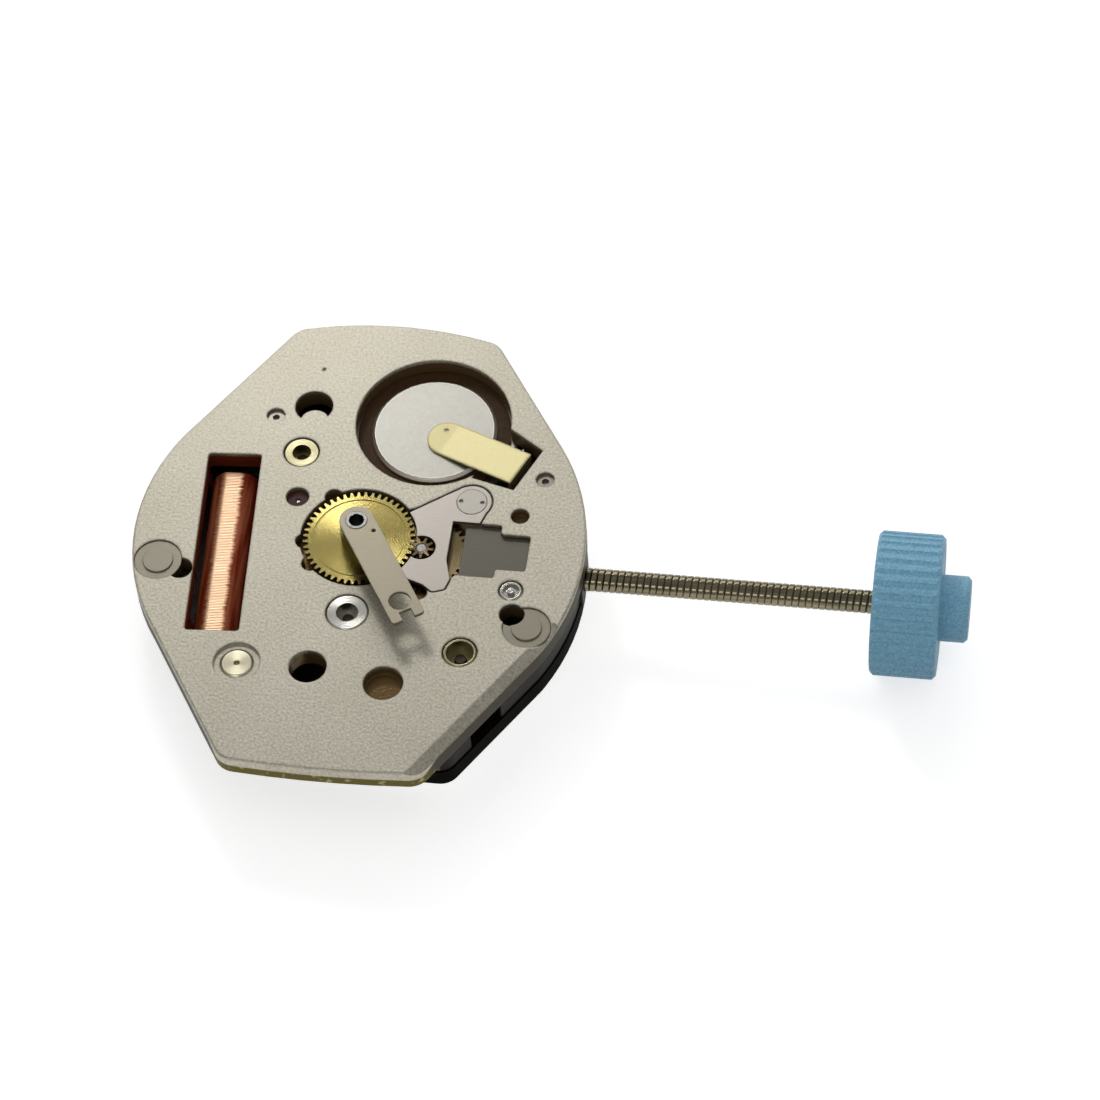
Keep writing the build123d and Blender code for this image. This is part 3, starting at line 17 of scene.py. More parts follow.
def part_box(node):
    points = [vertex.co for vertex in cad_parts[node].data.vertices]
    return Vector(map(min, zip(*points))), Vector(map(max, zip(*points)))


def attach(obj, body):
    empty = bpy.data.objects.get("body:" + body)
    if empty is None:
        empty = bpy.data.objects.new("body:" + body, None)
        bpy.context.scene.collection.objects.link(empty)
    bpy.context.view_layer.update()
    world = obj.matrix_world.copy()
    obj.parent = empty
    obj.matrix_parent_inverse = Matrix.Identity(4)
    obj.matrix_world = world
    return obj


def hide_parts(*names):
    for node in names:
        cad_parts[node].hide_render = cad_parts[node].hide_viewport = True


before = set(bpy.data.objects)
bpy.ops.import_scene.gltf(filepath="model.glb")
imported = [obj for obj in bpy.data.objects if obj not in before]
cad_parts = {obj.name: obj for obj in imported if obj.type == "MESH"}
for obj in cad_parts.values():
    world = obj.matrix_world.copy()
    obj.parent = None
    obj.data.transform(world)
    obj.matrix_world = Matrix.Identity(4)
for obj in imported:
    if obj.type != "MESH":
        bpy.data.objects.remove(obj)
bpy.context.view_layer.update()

# %% [markdown]
# ## Colours, nodes and objects
# A colour is picked on a screen, so it is written as an sRGB hex value, while Blender's sockets
# take linear light. One function does the change. Two more add a node and fill its inputs with numbers
# or links.

# %% Helpers for colours, nodes and objects
MM = 0.001  # metres


def linear(hex_colour):
    """The linear colour that a socket takes, from an sRGB hex value."""
    channels = [int(hex_colour[i:i + 2], 16) / 255 for i in (1, 3, 5)]
    return tuple(c / 12.92 if c <= 0.04045 else ((c + 0.055) / 1.055) ** 2.4 for c in channels) + (1.0,)


def fill(tree, node, inputs):
    """Gives each named or numbered input of a node a value or a link."""
    for name, value in inputs.items():
        if isinstance(value, bpy.types.NodeSocket):
            tree.links.new(value, node.inputs[name])
        else:
            node.inputs[name].default_value = value


def add_node(tree, kind, inputs=None, **options):
    """Adds a node, sets its options and fills its inputs."""
    made = tree.nodes.new(kind)
    for name, value in options.items():
        setattr(made, name, value)
    fill(tree, made, inputs or {})
    return made


def add_object(name, data):
    """Puts a mesh, lamp or camera into the scene."""
    made = bpy.data.objects.new(name, data)
    bpy.context.scene.collection.objects.link(made)
    return made


def add_shape(name, shape):
    """Puts a bmesh into the scene as a mesh object."""
    mesh = bpy.data.meshes.new(name)
    shape.to_mesh(mesh)
    return add_object(name, mesh)


print("white is", linear("#ffffff"))

# %% [markdown]
# Materials are built from a few steps that come back all the time: a calculation, a number brought from
# one range to another, a mix of two colours, cloudy noise, a relief. Each step has one short function
# that returns its link, so a material says only what is special about it. Places are in millimetres on
# the real part, so the scale of a pattern says how often it comes back in one millimetre.

# %% Steps of a material


def calc(tree, operation, *values, **options):
    """The result of one calculation with numbers or links."""
    made = add_node(tree, "ShaderNodeMath", dict(enumerate(values)), operation=operation, **options)
    return made.outputs[0]


def vector_calc(tree, operation, *values):
    """The same with places or directions. A length and a dot product give a number, the rest a place."""
    made = add_node(tree, "ShaderNodeVectorMath", dict(enumerate(values)), operation=operation)
    return made.outputs["Value" if operation in ("LENGTH", "DOT_PRODUCT") else "Vector"]


def ramp(tree, value, source=(0.0, 1.0), target=(0.0, 1.0)):
    """A number brought from its source range to a target range, and held at both ends."""
    return add_node(tree, "ShaderNodeMapRange", {
        "Value": value, "From Min": source[0], "From Max": source[1],
        "To Min": target[0], "To Max": target[1]}).outputs[0]


def mix(tree, share, first, second, blend_type="MIX"):
    """The first colour where the share is nought, the second where it is one."""
    return add_node(tree, "ShaderNodeMix", {0: share, 6: first, 7: second}, data_type="RGBA",
                    blend_type=blend_type).outputs[2]


def mix_number(tree, share, first, second):
    """The first number where the share is nought, the second where it is one."""
    return add_node(tree, "ShaderNodeMix", {0: share, 2: first, 3: second}).outputs[0]


def toned(tree, hex_colour, tone):
    """A colour made darker or lighter by a tone below or above one."""
    return add_node(tree, "ShaderNodeVectorMath", {0: linear(hex_colour)[:3], "Scale": tone},
                    operation="SCALE").outputs["Vector"]


def noise(tree, place, scale, detail=2.0, distortion=0.0):
    """Cloudy noise from nought to one, with so many clouds in a millimetre."""
    return add_node(tree, "ShaderNodeTexNoise", {
        "Vector": place, "Scale": scale, "Detail": detail, "Distortion": distortion}).outputs["Fac"]


def stretched(tree, place, scale, turn=0.0):
    """A place turned round the vertical and scaled each way, for a pattern with a direction."""
    return add_node(tree, "ShaderNodeMapping", {
        "Vector": place, "Rotation": (0, 0, turn), "Scale": scale}).outputs["Vector"]


def rounded(tree, radius):
    """The normal of a piece whose edges are rounded by so many millimetres."""
    return add_node(tree, "ShaderNodeBevel", {"Radius": radius * MM}, samples=4).outputs["Normal"]


def relief(tree, height, strength, depth, **under):
    """The normal of a relief, its depth in millimetres. It can lie on another one, given as Normal."""
    return add_node(tree, "ShaderNodeBump", {
        "Height": height, "Strength": strength, "Distance": depth * MM, **under}).outputs["Normal"]


def axis_distance(tree, place, kept, centre=(0, 0, 0)):
    """How far a place is from an axis through a centre. Kept is one for both ways off the axis."""
    from_centre = vector_calc(tree, "SUBTRACT", place, centre)
    return vector_calc(tree, "LENGTH", vector_calc(tree, "MULTIPLY", from_centre, kept))


print("steps of a material: calculation, ramp, mix, tone, noise, relief, distance")

# %% [markdown]
# A finish starts from a Principled shader and the place on the piece. The copper of the coil shines red
# on the walls of its own window, and that red light is too weak here to come from bounces alone, so any
# finish near the coil has a painted red reflection mixed into its colour.

# %% A finish, and where it goes
coil_tilt = math.radians(3.57)  # the coil lies a little askew, and its window with it
coil_axis = Vector((-math.sin(coil_tilt), math.cos(coil_tilt), 0))
coil_side = Vector((math.cos(coil_tilt), math.sin(coil_tilt), 0))
window_centre = (-4.45, -0.6, 0)  # mm; the window is 1.8 by 7.2 mm
glow_half_width = 1.15  # mm, enough to take in the window's walls
glow_longer = 2.85  # mm, how much longer than wide each half is
glow_fade = 0.05  # mm
glow_gone, glow_full = 0.6, 0.3  # mm, how far a face looks away from the coil


def new_finish(name, centre=(0, 0, 0)):
    """A material with an empty Principled shader, and the place on the piece, in mm from a centre."""
    finish = bpy.data.materials.new(name)
    finish.use_nodes = True
    tree = finish.node_tree
    tree.nodes.clear()
    shader = add_node(tree, "ShaderNodeBsdfPrincipled")
    add_node(tree, "ShaderNodeOutputMaterial", {"Surface": shader.outputs["BSDF"]})
    own = add_node(tree, "ShaderNodeTexCoord")
    scaled = add_node(tree, "ShaderNodeVectorMath", {0: own.outputs["Object"], "Scale": 1 / MM},
                      operation="SCALE")
    return finish, tree, shader, vector_calc(tree, "SUBTRACT", scaled.outputs["Vector"], centre)


def painted_coil_reflection(tree, place):
    """One on the walls of the coil's window and nought elsewhere: there a red reflection of the wire is
    painted in.
    """
    off = vector_calc(tree, "SUBTRACT", place, window_centre)
    aside, along = (calc(tree, "ABSOLUTE", vector_calc(tree, "DOT_PRODUCT", off, way))
                    for way in (coil_side, coil_axis))
    far = calc(tree, "MAXIMUM", aside, calc(tree, "SUBTRACT", along, glow_longer))
    within = ramp(tree, far, (glow_half_width + glow_fade, glow_half_width))
    # A face turned away from the coil, such as the outside of a thin wall beside it, stays as it is
    surface = add_node(tree, "ShaderNodeNewGeometry")
    away = vector_calc(tree, "DOT_PRODUCT", surface.outputs["Normal"], off)
    return calc(tree, "MULTIPLY", within, ramp(tree, away, (glow_gone, glow_full)))


def give(finish, *names):
    """Puts a finish on CAD nodes."""
    for name in names:
        for material_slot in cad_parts[name].material_slots:
            material_slot.material = finish
    print(finish.name, "on", ", ".join(names))


print("coil tilted by", round(math.degrees(coil_tilt), 2), "degrees")

# %% [markdown]
# ## The plate
# The main plate is brass, milled, plated with nickel and sandblasted on its dial face, so the face is a
# soft, warm, even grey without a direction. The walls of the holes are bare machined brass, painted
# darker and browner for the shade that fills them. One solid has one material slot, so the finish asks
# where on the plate it is: near the face, down in a recess, or out on the flank. How far out a point lies
# is the most that it is past any edge of the outline: the two round flanks, the four straight corners,
# or the two bowed ends.

# %% Where a point lies on the plate
round_radius = 7.3  # mm, just inside the round flanks
round_half_length = 4.6  # mm, where the round flanks end
corner_across, corner_along, corner_reach = 0.85, 0.53, 7.3  # a straight corner, reach in mm
end_reach, end_bow = 8.7, 0.04  # mm, and for each square millimetre

plate_nickel, tree, shader, place = new_finish("sandblasted nickel plate")
plate_xyz = add_node(tree, "ShaderNodeSeparateXYZ", {"Vector": place})
x, y, z = (plate_xyz.outputs[way] for way in "XYZ")
across = calc(tree, "ABSOLUTE", x)
along = calc(tree, "ABSOLUTE", y)
past_round = calc(tree, "SUBTRACT", axis_distance(tree, place, (1, 1, 0)), round_radius)
past_flank = calc(tree, "MINIMUM", past_round, calc(tree, "SUBTRACT", round_half_length, along))
slant = calc(tree, "MULTIPLY_ADD", across, corner_across, -corner_reach)
past_corner = calc(tree, "MULTIPLY_ADD", along, corner_along, slant)
bowed = calc(tree, "MULTIPLY_ADD", calc(tree, "MULTIPLY", across, across), end_bow, -end_reach)
past_end = calc(tree, "ADD", along, bowed)
outside = calc(tree, "MAXIMUM", calc(tree, "MAXIMUM", past_flank, past_end), past_corner)
flank = ramp(tree, outside, (-0.02, 0.04))  # mm past the outline
open_end = ramp(tree, y, (-8.3, -8.8))  # mm from the hands' axis, towards six o'clock
rim = ramp(tree, z, (-0.72, -0.8))  # mm from the dial face

# The blast reaches a little way down a wall, farther on the open end at six o'clock, and covers the
# shallow slope at the lower right, which still faces up
blast_reach = ramp(tree, open_end, target=(0.12, 0.36))  # mm
below = ramp(tree, calc(tree, "ADD", z, blast_reach), (0.0, -0.06))
surface = add_node(tree, "ShaderNodeNewGeometry")
facing = add_node(tree, "ShaderNodeSeparateXYZ", {"Vector": surface.outputs["Normal"]})
upward = ramp(tree, facing.outputs["Z"], (0.6, 0.8))  # one faces straight up
shallow = ramp(tree, z, (-0.16, -0.02))  # mm from the dial face
sloped = calc(tree, "MULTIPLY", upward, shallow)
bare = calc(tree, "SUBTRACT", below, sloped, use_clamp=True)
print("the plate is told apart into face, recess, flank, rim and open end")

# %% [markdown]
# The face has the grain of the blast and a few broad, faint stains. The flank is nickel painted darker
# for the shade on the sides, worn down to brass in flecks on the open end. The flange of the plate is
# 0.75 mm thick, and the rim below it is painted nearly black for the shade under the flange.

# %% Colours of the plate
blast_grain = 0.09  # mm; real sandblasting is nearer 0.03, too fine to show at this distance
stain_size = 3.0  # mm
fleck_size = 0.25  # mm

grain = noise(tree, place, 1 / blast_grain)
stain = noise(tree, place, 1 / stain_size, 4.0)
soiled = mix(tree, stain, linear("#c4bfb1"), linear("#b5af9d"))
pitted = ramp(tree, grain, (0.3, 0.7), (0.74, 1.16))
face_colour = mix(tree, 1.0, soiled, pitted, "MULTIPLY")
flecks = ramp(tree, noise(tree, place, 1 / fleck_size, 1.0), (0.6, 0.72))
worn_brass = mix(tree, flecks, linear("#7c7136"), linear("#cbc082"))
# painted shade: the flank is darker nickel for the shade on the sides; the brass flecks on the open end
# are wear
flank_wear_and_shade = mix(tree, open_end, linear("#4a4636"), worn_brass)
# painted shade: the rim under the flange is nearly black
side_wear_and_shade = mix(tree, rim, flank_wear_and_shade, linear("#15130c"))
# painted shade: hole walls are brown for the shade in them, and red near the coil for its painted
# reflection
hole_brass_and_shade = mix(tree, painted_coil_reflection(tree, place), linear("#77603f"), linear("#8a3c22"))
wall_brass_and_shade = mix(tree, flank, hole_brass_and_shade, side_wear_and_shade)
plate_colour = mix(tree, bare, face_colour, wall_brass_and_shade)
print("plate: grain", blast_grain, "mm, stains", stain_size, "mm, flecks", fleck_size, "mm")

# %% [markdown]
# Walls in the holes were milled and never blasted, so they are smoother than the face, and the tumbled
# flank is not. Walls and flank are less metallic, so they scatter light where the nickel of the face
# mirrors it.
# Blasting rounds every edge a little, and the edges towards six o'clock catch the light in front.

# %% Shine of the plate
face_rough = ramp(tree, grain, target=(0.42, 0.58))
wall_rough = ramp(tree, flank, target=(0.24, 0.5))
wall_metal = ramp(tree, flank, target=(0.55, 0.25))
fill(tree, shader, {
    "Base Color": plate_colour,
    "Roughness": mix_number(tree, bare, face_rough, wall_rough),
    "Metallic": mix_number(tree, bare, 0.95, wall_metal),
    "Specular IOR Level": ramp(tree, bare, target=(0.5, 0.1)),
    "Normal": relief(tree, grain, 0.35, 0.02, Normal=rounded(tree, 0.09))})
give(plate_nickel, "main_plate")

# %% [markdown]
# ## Sheet parts in the same nickel
# The arm on the centre tube, the cover of the minute wheel, its stud and the two locks are stamped or
# turned and nickel plated. They are smoother than the plate, so they show a soft shine. Rolling and
# turning both leave fine lines: straight ones on sheet, rings on what was turned. Stretched noise gives
# the lines, a bent wave the rings.

# %% Stamped and turned nickel
WAVE_STEP = 0.32  # Blender's wave texture at scale one comes back after about so many units


def stamped_nickel(name, hex_colour, roughness=0.38):
    """Rolled sheet, nickel plated: faint straight lines along the sheet and a soft shine."""
    finish, tree, shader, place = new_finish(name)
    lines = noise(tree, stretched(tree, place, (1.2, 14.0, 1.2)), 1.5, 3.0)
    speck = noise(tree, place, 1 / blast_grain)
    fill(tree, shader, {
        "Base Color": toned(tree, hex_colour, ramp(tree, lines, target=(0.9, 1.06))),
        "Roughness": ramp(tree, speck, target=(roughness - 0.08, roughness + 0.08)),
        "Metallic": 1.0,
        "Normal": relief(tree, speck, 0.15, 0.01, Normal=rounded(tree, 0.04))})
    return finish


def turned_metal(name, hex_colour, centre, roughness=0.28, ring=0.06):
    """Metal turned on a lathe: rings round its own axis, a ring each so many millimetres."""
    finish, tree, shader, place = new_finish(name, (centre[0], centre[1], 0))
    rings = add_node(tree, "ShaderNodeTexWave", {
        "Vector": place, "Scale": WAVE_STEP / ring, "Distortion": 0.6, "Detail": 2.0,
        "Detail Scale": 2.0}, wave_type="RINGS", rings_direction="Z").outputs["Fac"]
    fill(tree, shader, {
        "Base Color": toned(tree, hex_colour, ramp(tree, rings, target=(0.86, 1.05))),
        "Roughness": roughness,
        "Metallic": 1.0,
        "Normal": relief(tree, rings, 0.3, 0.006)})
    return finish


def middle(name):
    """The middle of a node seen from above, in millimetres."""
    low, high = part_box(name)
    return [(low[i] + high[i]) / 2 / MM for i in range(2)]


give(stamped_nickel("stamped nickel silver", "#aaa39b"), "minute_train_cover")
give(stamped_nickel("nickel strap", "#9d9583", 0.42), "arm")
give(stamped_nickel("turned nickel stud", "#a7a299", 0.42), "cover_stud")
give(stamped_nickel("blasted nickel locks", "#8e897a", 0.46), "dial_lock_right", "dial_lock_left")

# %% [markdown]
# ## Wheels and brass posts
# Wheels of a watch are thin brass discs, cut from rolled sheet and polished or gilt. The hour wheel
# under the hands is the brightest of them: almost a mirror, so it shows pale sky and dark arm side by
# side. Its rings come from the lathe. The posts are brass too, turned with a little less care. The
# wheels in the open recess are painted darker brass for the shade down there.

# %% Brass
give(turned_metal("polished brass hour wheel", "#9f9158", (0, 0), roughness=0.2, ring=0.05), "hour_wheel")
for kind, hex_colour, roughness, names in (
        ("turned brass", "#a29b7c", 0.28, ("pillar_top", "pillar_right", "centre_bush")),
        ("gilt brass", "#c39a4c", 0.24, ("centre_wheel", "third_wheel", "intermediate_wheel")),
        # painted shade: these wheels lie deep in the open recess
        ("brass darkened for shade", "#6a5d44", 0.22, ("minute_wheel", "setting_wheel", "setting_wheel_lower"))):
    for name in names:
        finish_name = f"{kind}, {name.replace('_', ' ')}"
        give(turned_metal(finish_name, hex_colour, middle(name), roughness), name)
give(turned_metal("turned pale brass, low pillar", "#cbc4aa", middle("pillar_low")), "pillar_low")
give(stamped_nickel("brass bridge", "#cdb878", 0.36), "train_bridge")

# %% [markdown]
# ## Steel
# Stem, pinions, lever and screws are hardened carbon steel, turned or ground and then polished, so they
# are a cool neutral grey with sharp glints. The keeper plate in the stepped window is steel as well,
# but sandblasted and dark. The iron of the coil and stator is annealed, which leaves it dull.

# %% Hardened, ground and blasted steel


def ground_steel(name, hex_colour, roughness, grain_size=0.12, bump=0.2):
    """Steel ground or blasted without a direction: a fine speckle in tone, shine and height."""
    finish, tree, shader, place = new_finish(name)
    speck = noise(tree, place, 1 / grain_size, 3.0)
    fill(tree, shader, {
        "Base Color": toned(tree, hex_colour, ramp(tree, speck, target=(0.85, 1.12))),
        "Roughness": ramp(tree, speck, target=(roughness * 0.8, roughness * 1.2)),
        "Metallic": 1.0,
        "Normal": relief(tree, speck, bump, 0.01)})
    return finish


give(ground_steel("polished hardened steel", "#b9b8b6", 0.2), "clutch", "centre_arbor", "third_pinion",
     "intermediate_pinion", "rotor_pinion", "minute_wheel_stud", "cannon_pinion")
give(ground_steel("turned steel pins", "#8d897e", 0.36), "guide_pins")
give(ground_steel("stamped steel", "#a9a8a5", 0.32), "setting_lever", "yoke", "battery_strap")
# painted shade: the screw ends sit deep in the cups of the pillars, so their steel is darker
give(ground_steel("steel screws darkened for shade", "#4c473c", 0.55), "cover_screws")
give(ground_steel("cold rolled steel cover", "#b4b3b0", 0.34, grain_size=0.2), "back_cover")
give(ground_steel("sandblasted dark steel", "#67645c", 0.5, grain_size=0.09, bump=0.4), "setting_keeper")
give(ground_steel("annealed soft iron", "#77736b", 0.45), "coil_core", "stator")
for post in ("pillar_centre", "lever_post"):
    give(turned_metal(f"turned steel, {post.replace('_', ' ')}", "#bcb9b2", middle(post), 0.22), post)

# %% [markdown]
# ## The stem
# The stem is a long steel screw, 0.78 mm thick, with a pitch of 0.225 mm. The solid has a ridge for
# each turn; the real thread is a helix with flat crests, cut on a lathe, and those crests are what
# carries the thin streak of light from end to end. So the outer length is made again as a helix, and
# the inner length is cut off the solid.

# %% Steel of the stem
stem_axis_height = -1.4  # mm
groove_shade_starts, groove_shade_full = 0.388, 0.37  # mm off the axis: the grooves are painted dark for their shade

stem_steel, tree, shader, place = new_finish("threaded carbon steel")
streaks = noise(tree, stretched(tree, place, (0.4, 6.0, 6.0)), 2.0, 3.0)
oiled = mix(tree, streaks, linear("#463f2f"), linear("#a39b80"))
stem_reach = axis_distance(tree, place, (0, 1, 1), (0, 0, stem_axis_height))
# painted shade: the grooves of the thread are dark
groove = ramp(tree, stem_reach, (groove_shade_starts, groove_shade_full))
fill(tree, shader, {
    "Base Color": mix(tree, groove, oiled, linear("#453d2c")),
    "Metallic": 1.0,
    "Roughness": 0.13})
print("groove shade starts", groove_shade_starts, "mm off the stem's axis")

# %% [markdown]
# Each ring of the thread's mesh is a section across the stem. Its radius follows the helix: most of a
# turn is crest, and the groove between crests has steep flanks and a narrow root.

# %% Thread and shaft of the stem
thread_start = 7.65 * MM
thread_pitch = 0.225 * MM
crest_radius = 0.392 * MM
root_radius = 0.364 * MM
half_root = 0.05  # of a turn
flank_width = 0.09  # of a turn
thread_steps = 12  # rings in a turn
thread_sides = 32  # points in a ring
overlap = 0.02 * MM  # the shaft runs so far into the thread
_, stem_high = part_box("stem")
stem_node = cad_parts["stem"]


def thread_radius(phase):
    """The thread's radius at a share of one turn: crest, flank, root in the middle, flank, crest."""
    up = min(max((abs(phase - 0.5) - half_root) / flank_width, 0.0), 1.0)
    return root_radius + (crest_radius - root_radius) * up


def pipe(name, rings):
    """A mesh object through rings of points, with its two ends closed."""
    shape = bmesh.new()
    loops = [[shape.verts.new(point) for point in ring] for ring in rings]
    for first, second in zip(loops, loops[1:]):
        for j in range(len(first)):
            k = (j + 1) % len(first)
            shape.faces.new((first[j], first[k], second[k], second[j])).smooth = True
    shape.faces.new(reversed(loops[0]))
    shape.faces.new(loops[-1])
    bmesh.ops.recalc_face_normals(shape, faces=shape.faces)
    return add_shape(name, shape)


stations = int((stem_high[0] - thread_start) / thread_pitch * thread_steps)
thread_rings = []
for i in range(stations + 1):
    x = thread_start + i * thread_pitch / thread_steps
    ring = []
    for j in range(thread_sides):
        reach = thread_radius((i / thread_steps + j / thread_sides) % 1.0)
        angle = 2 * math.pi * j / thread_sides
        ring.append(Vector((x, reach * math.cos(angle), stem_axis_height * MM + reach * math.sin(angle))))
    thread_rings.append(ring)
stem_thread = pipe("stem_thread", thread_rings)

shaft = bmesh.new()
shaft.from_mesh(stem_node.data)
shaft.transform(stem_node.matrix_world)
bmesh.ops.bisect_plane(shaft, geom=[*shaft.verts, *shaft.edges, *shaft.faces], clear_outer=True,
                       plane_co=(thread_start + overlap, 0, 0), plane_no=(1, 0, 0))
for face in shaft.faces:
    face.smooth = False
stem_shaft = add_shape("stem_shaft", shaft)
for piece in (stem_thread, stem_shaft):
    piece.data.materials.append(stem_steel)
    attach(piece, "stem")
    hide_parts("stem")
print("turns of thread:", stations // thread_steps)

# %% [markdown]
# ## Battery and contact
# The cell's cap is stainless steel, satin from a tumbling drum, so it has short scratches in all
# directions. Its rolled edge is painted near white for the highlight it catches. The contact is spring
# brass with a thin pale gold plate, nearly smooth.

# %% Cell steel and gold
cap_edge = 2.12  # mm from the cell's axis
rim_highlight_starts, rim_highlight_full = 0.14, 0.07  # mm inside the edge
cap_starts, cap_full = 0.28, 0.24  # mm below the cell's top
cell_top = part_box("battery")[1][2] / MM

cell_steel, tree, shader, place = new_finish("satin stainless steel")
scratches = noise(tree, place, 5.0, 6.0, 1.5)
specks = noise(tree, place, 12.0)
satin = mix(tree, scratches, linear("#9f9c94"), linear("#b3b0a8"))
cell_reach = axis_distance(tree, place, (1, 1, 0), (*middle("battery"), 0))
# painted highlight: a near white ring along the rolled edge of the cap
edge = ramp(tree, cell_reach, (cap_edge - rim_highlight_starts, cap_edge - rim_highlight_full))
cell_xyz = add_node(tree, "ShaderNodeSeparateXYZ", {"Vector": place})
on_cap = ramp(tree, cell_xyz.outputs["Z"], (cell_top - cap_starts, cell_top - cap_full))
fill(tree, shader, {
    "Base Color": mix(tree, calc(tree, "MULTIPLY", edge, on_cap), satin, linear("#efede8")),
    "Roughness": ramp(tree, specks, target=(0.36, 0.48)),
    "Metallic": 1.0,
    "Normal": relief(tree, scratches, 0.1, 0.02)})
give(cell_steel, "battery")

gold, tree, shader, place = new_finish("gold plated spring brass")
ripple = noise(tree, place, 9.0, 3.0)
fill(tree, shader, {
    "Base Color": mix(tree, ripple, linear("#c8bf90"), linear("#d2c99e")),
    "Roughness": 0.52,
    "Metallic": 1.0,
    "Normal": relief(tree, ripple, 0.08, 0.02, Normal=rounded(tree, 0.12))})
give(gold, "battery_contact")

# %% [markdown]
# ## Plastics
# The gasket is brown nylon, the frame below the plate is filled with glass fibre and takes almost no
# shine, and the knob is acetal from a mould with a coarse grain.

# %% Nylon, frame, knob and epoxy


def moulded_plastic(name, hex_colour, roughness, grain_size, bump=0.3, contrast=0.12, gloss=0.5):
    """Plastic from a grained mould: a faint mottle, a painted red reflection beside the coil, and a bumpy
    skin.
    """
    finish, tree, shader, place = new_finish(name)
    skin = noise(tree, place, 1 / grain_size, 3.0)
    mottled = toned(tree, hex_colour, ramp(tree, skin, (0.3, 0.7), (1 - contrast, 1 + contrast)))
    fill(tree, shader, {
        # painted reflection: red from the coil on the plastic beside its window
        "Base Color": mix(tree, painted_coil_reflection(tree, place), mottled, linear("#a84822")),
        "Roughness": roughness,
        "Specular IOR Level": gloss,
        "Normal": relief(tree, skin, bump, 0.03)})
    return finish


give(moulded_plastic("brown nylon seal", "#4b351f", 0.5, grain_size=0.2, gloss=0.12), "battery_gasket")
give(moulded_plastic("glass filled black plastic", "#0f0d08", 0.65, grain_size=0.1, gloss=0.02),
     "module_frame")
give(moulded_plastic("blue acetal knob", "#8fc9e6", 0.5, grain_size=0.08, bump=0.8, contrast=0.2),
     "crown_knob")
give(moulded_plastic("black epoxy drop", "#151515", 0.25, grain_size=0.5, bump=0.1), "circuit_chip")

# %% [markdown]
# ## Small electrics and jewels
# The board is glass cloth in green epoxy with copper tracks under the lacquer. The bearings are
# synthetic ruby, a hard clear crystal that looks nearly black in a hole. The magnet is a sintered grey
# block, and the quartz tuning fork sits in a drawn, polished can.

# %% Board, ruby, magnet and can
board_green, tree, shader, place = new_finish("lacquered circuit board")
tracks = add_node(tree, "ShaderNodeTexBrick", {
    "Vector": place, "Scale": 2.2, "Mortar Size": 0.12, "Mortar": linear("#3f8a4f"),
    "Color1": linear("#1f5a35"), "Color2": linear("#24643b")})
fill(tree, shader, {"Base Color": tracks.outputs["Color"], "Roughness": 0.3})
give(board_green, "circuit_board", "coil_terminals")

ruby, tree, shader, place = new_finish("synthetic ruby")
cloud = noise(tree, place, 3.0)
fill(tree, shader, {
    "Base Color": mix(tree, cloud, linear("#3a1613"), linear("#5a2118")), "Roughness": 0.08, "IOR": 1.76})
give(ruby, "rotor_jewel", "bridge_jewels")

give(ground_steel("sintered magnet", "#4c4b4a", 0.4), "rotor_magnet")
give(ground_steel("drawn nickel can", "#d0cfcc", 0.14, grain_size=0.5, bump=0.05), "quartz_crystal")

# %% [markdown]
# ## The coil
# The coil is a great length of hair-thin enamelled copper wire wound on an iron bar. In the solid it is
# a plain barrel, so it is replaced. Its copper is painted pale on the flat top, a little left of the
# middle, for the streak of highlight there. On the shoulders it is a deeper, less metallic red, painted
# for their shade, with lighter bands along the coil. Where the red starts changes from turn to turn,
# which frays the edge of the painted streak.

# %% Enamelled copper
low, high = (Vector(corner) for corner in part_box("coil_winding"))
coil_middle = (low + high) / 2
coil_radius = (high.z - low.z) / 2
painted_streak_shift = 0.08  # mm, the painted highlight streak lies a little left of the coil's middle
fraying = 0.35  # mm
painted_shade_starts, painted_shade_full = 0.43, 0.56  # mm aside of the painted streak's middle, where the painted shade starts and is full, the fraying included

copper, tree, shader, place = new_finish("enamelled copper wire")
uneven = noise(tree, stretched(tree, place, (0.3, 12.0, 0.3), -coil_tilt), 1.0, 3.0)
banded = noise(tree, stretched(tree, place, (4.0, 0.2, 4.0), -coil_tilt), 1.0)
# painted highlight: pale copper where the streak of light lies on the top
copper_painted_highlight = mix(tree, uneven, linear("#ecb083"), linear("#ffe8c4"))
# painted shade: deep red on the shoulders, with random lighter bands
red_copper_painted_shade = mix(tree, ramp(tree, banded, (0.42, 0.62)), linear("#8a3318"), linear("#bf7350"))
from_axis = vector_calc(tree, "SUBTRACT", place, coil_middle / MM)
sideways = vector_calc(tree, "DOT_PRODUCT", from_axis, coil_side)
aside = calc(tree, "ABSOLUTE", calc(tree, "ADD", sideways, painted_streak_shift))
frayed = calc(tree, "MULTIPLY_ADD", uneven, fraying, aside)
shaded_shoulder = ramp(tree, frayed, (painted_shade_starts, painted_shade_full))
fill(tree, shader, {
    "Base Color": mix(tree, shaded_shoulder, copper_painted_highlight, red_copper_painted_shade),
    "Metallic": ramp(tree, shaded_shoulder, target=(0.9, 0.25)),
    "Roughness": 0.36,
    "Specular IOR Level": ramp(tree, shaded_shoulder, target=(0.5, 0.1)),
    "Coat Weight": ramp(tree, shaded_shoulder, target=(0.4, 0.0)),
    "Coat Roughness": 0.15})
print("coil radius in mm:", round(coil_radius / MM, 3))

# %% [markdown]
# Modelling each real turn would vanish at this distance, so one helix of thicker wire is drawn. Its
# turns lie a little unevenly, as real layers do: each has its own small step towards the axis. Under it
# lies the layer before, a form a little smaller, so that no light comes through between the turns.

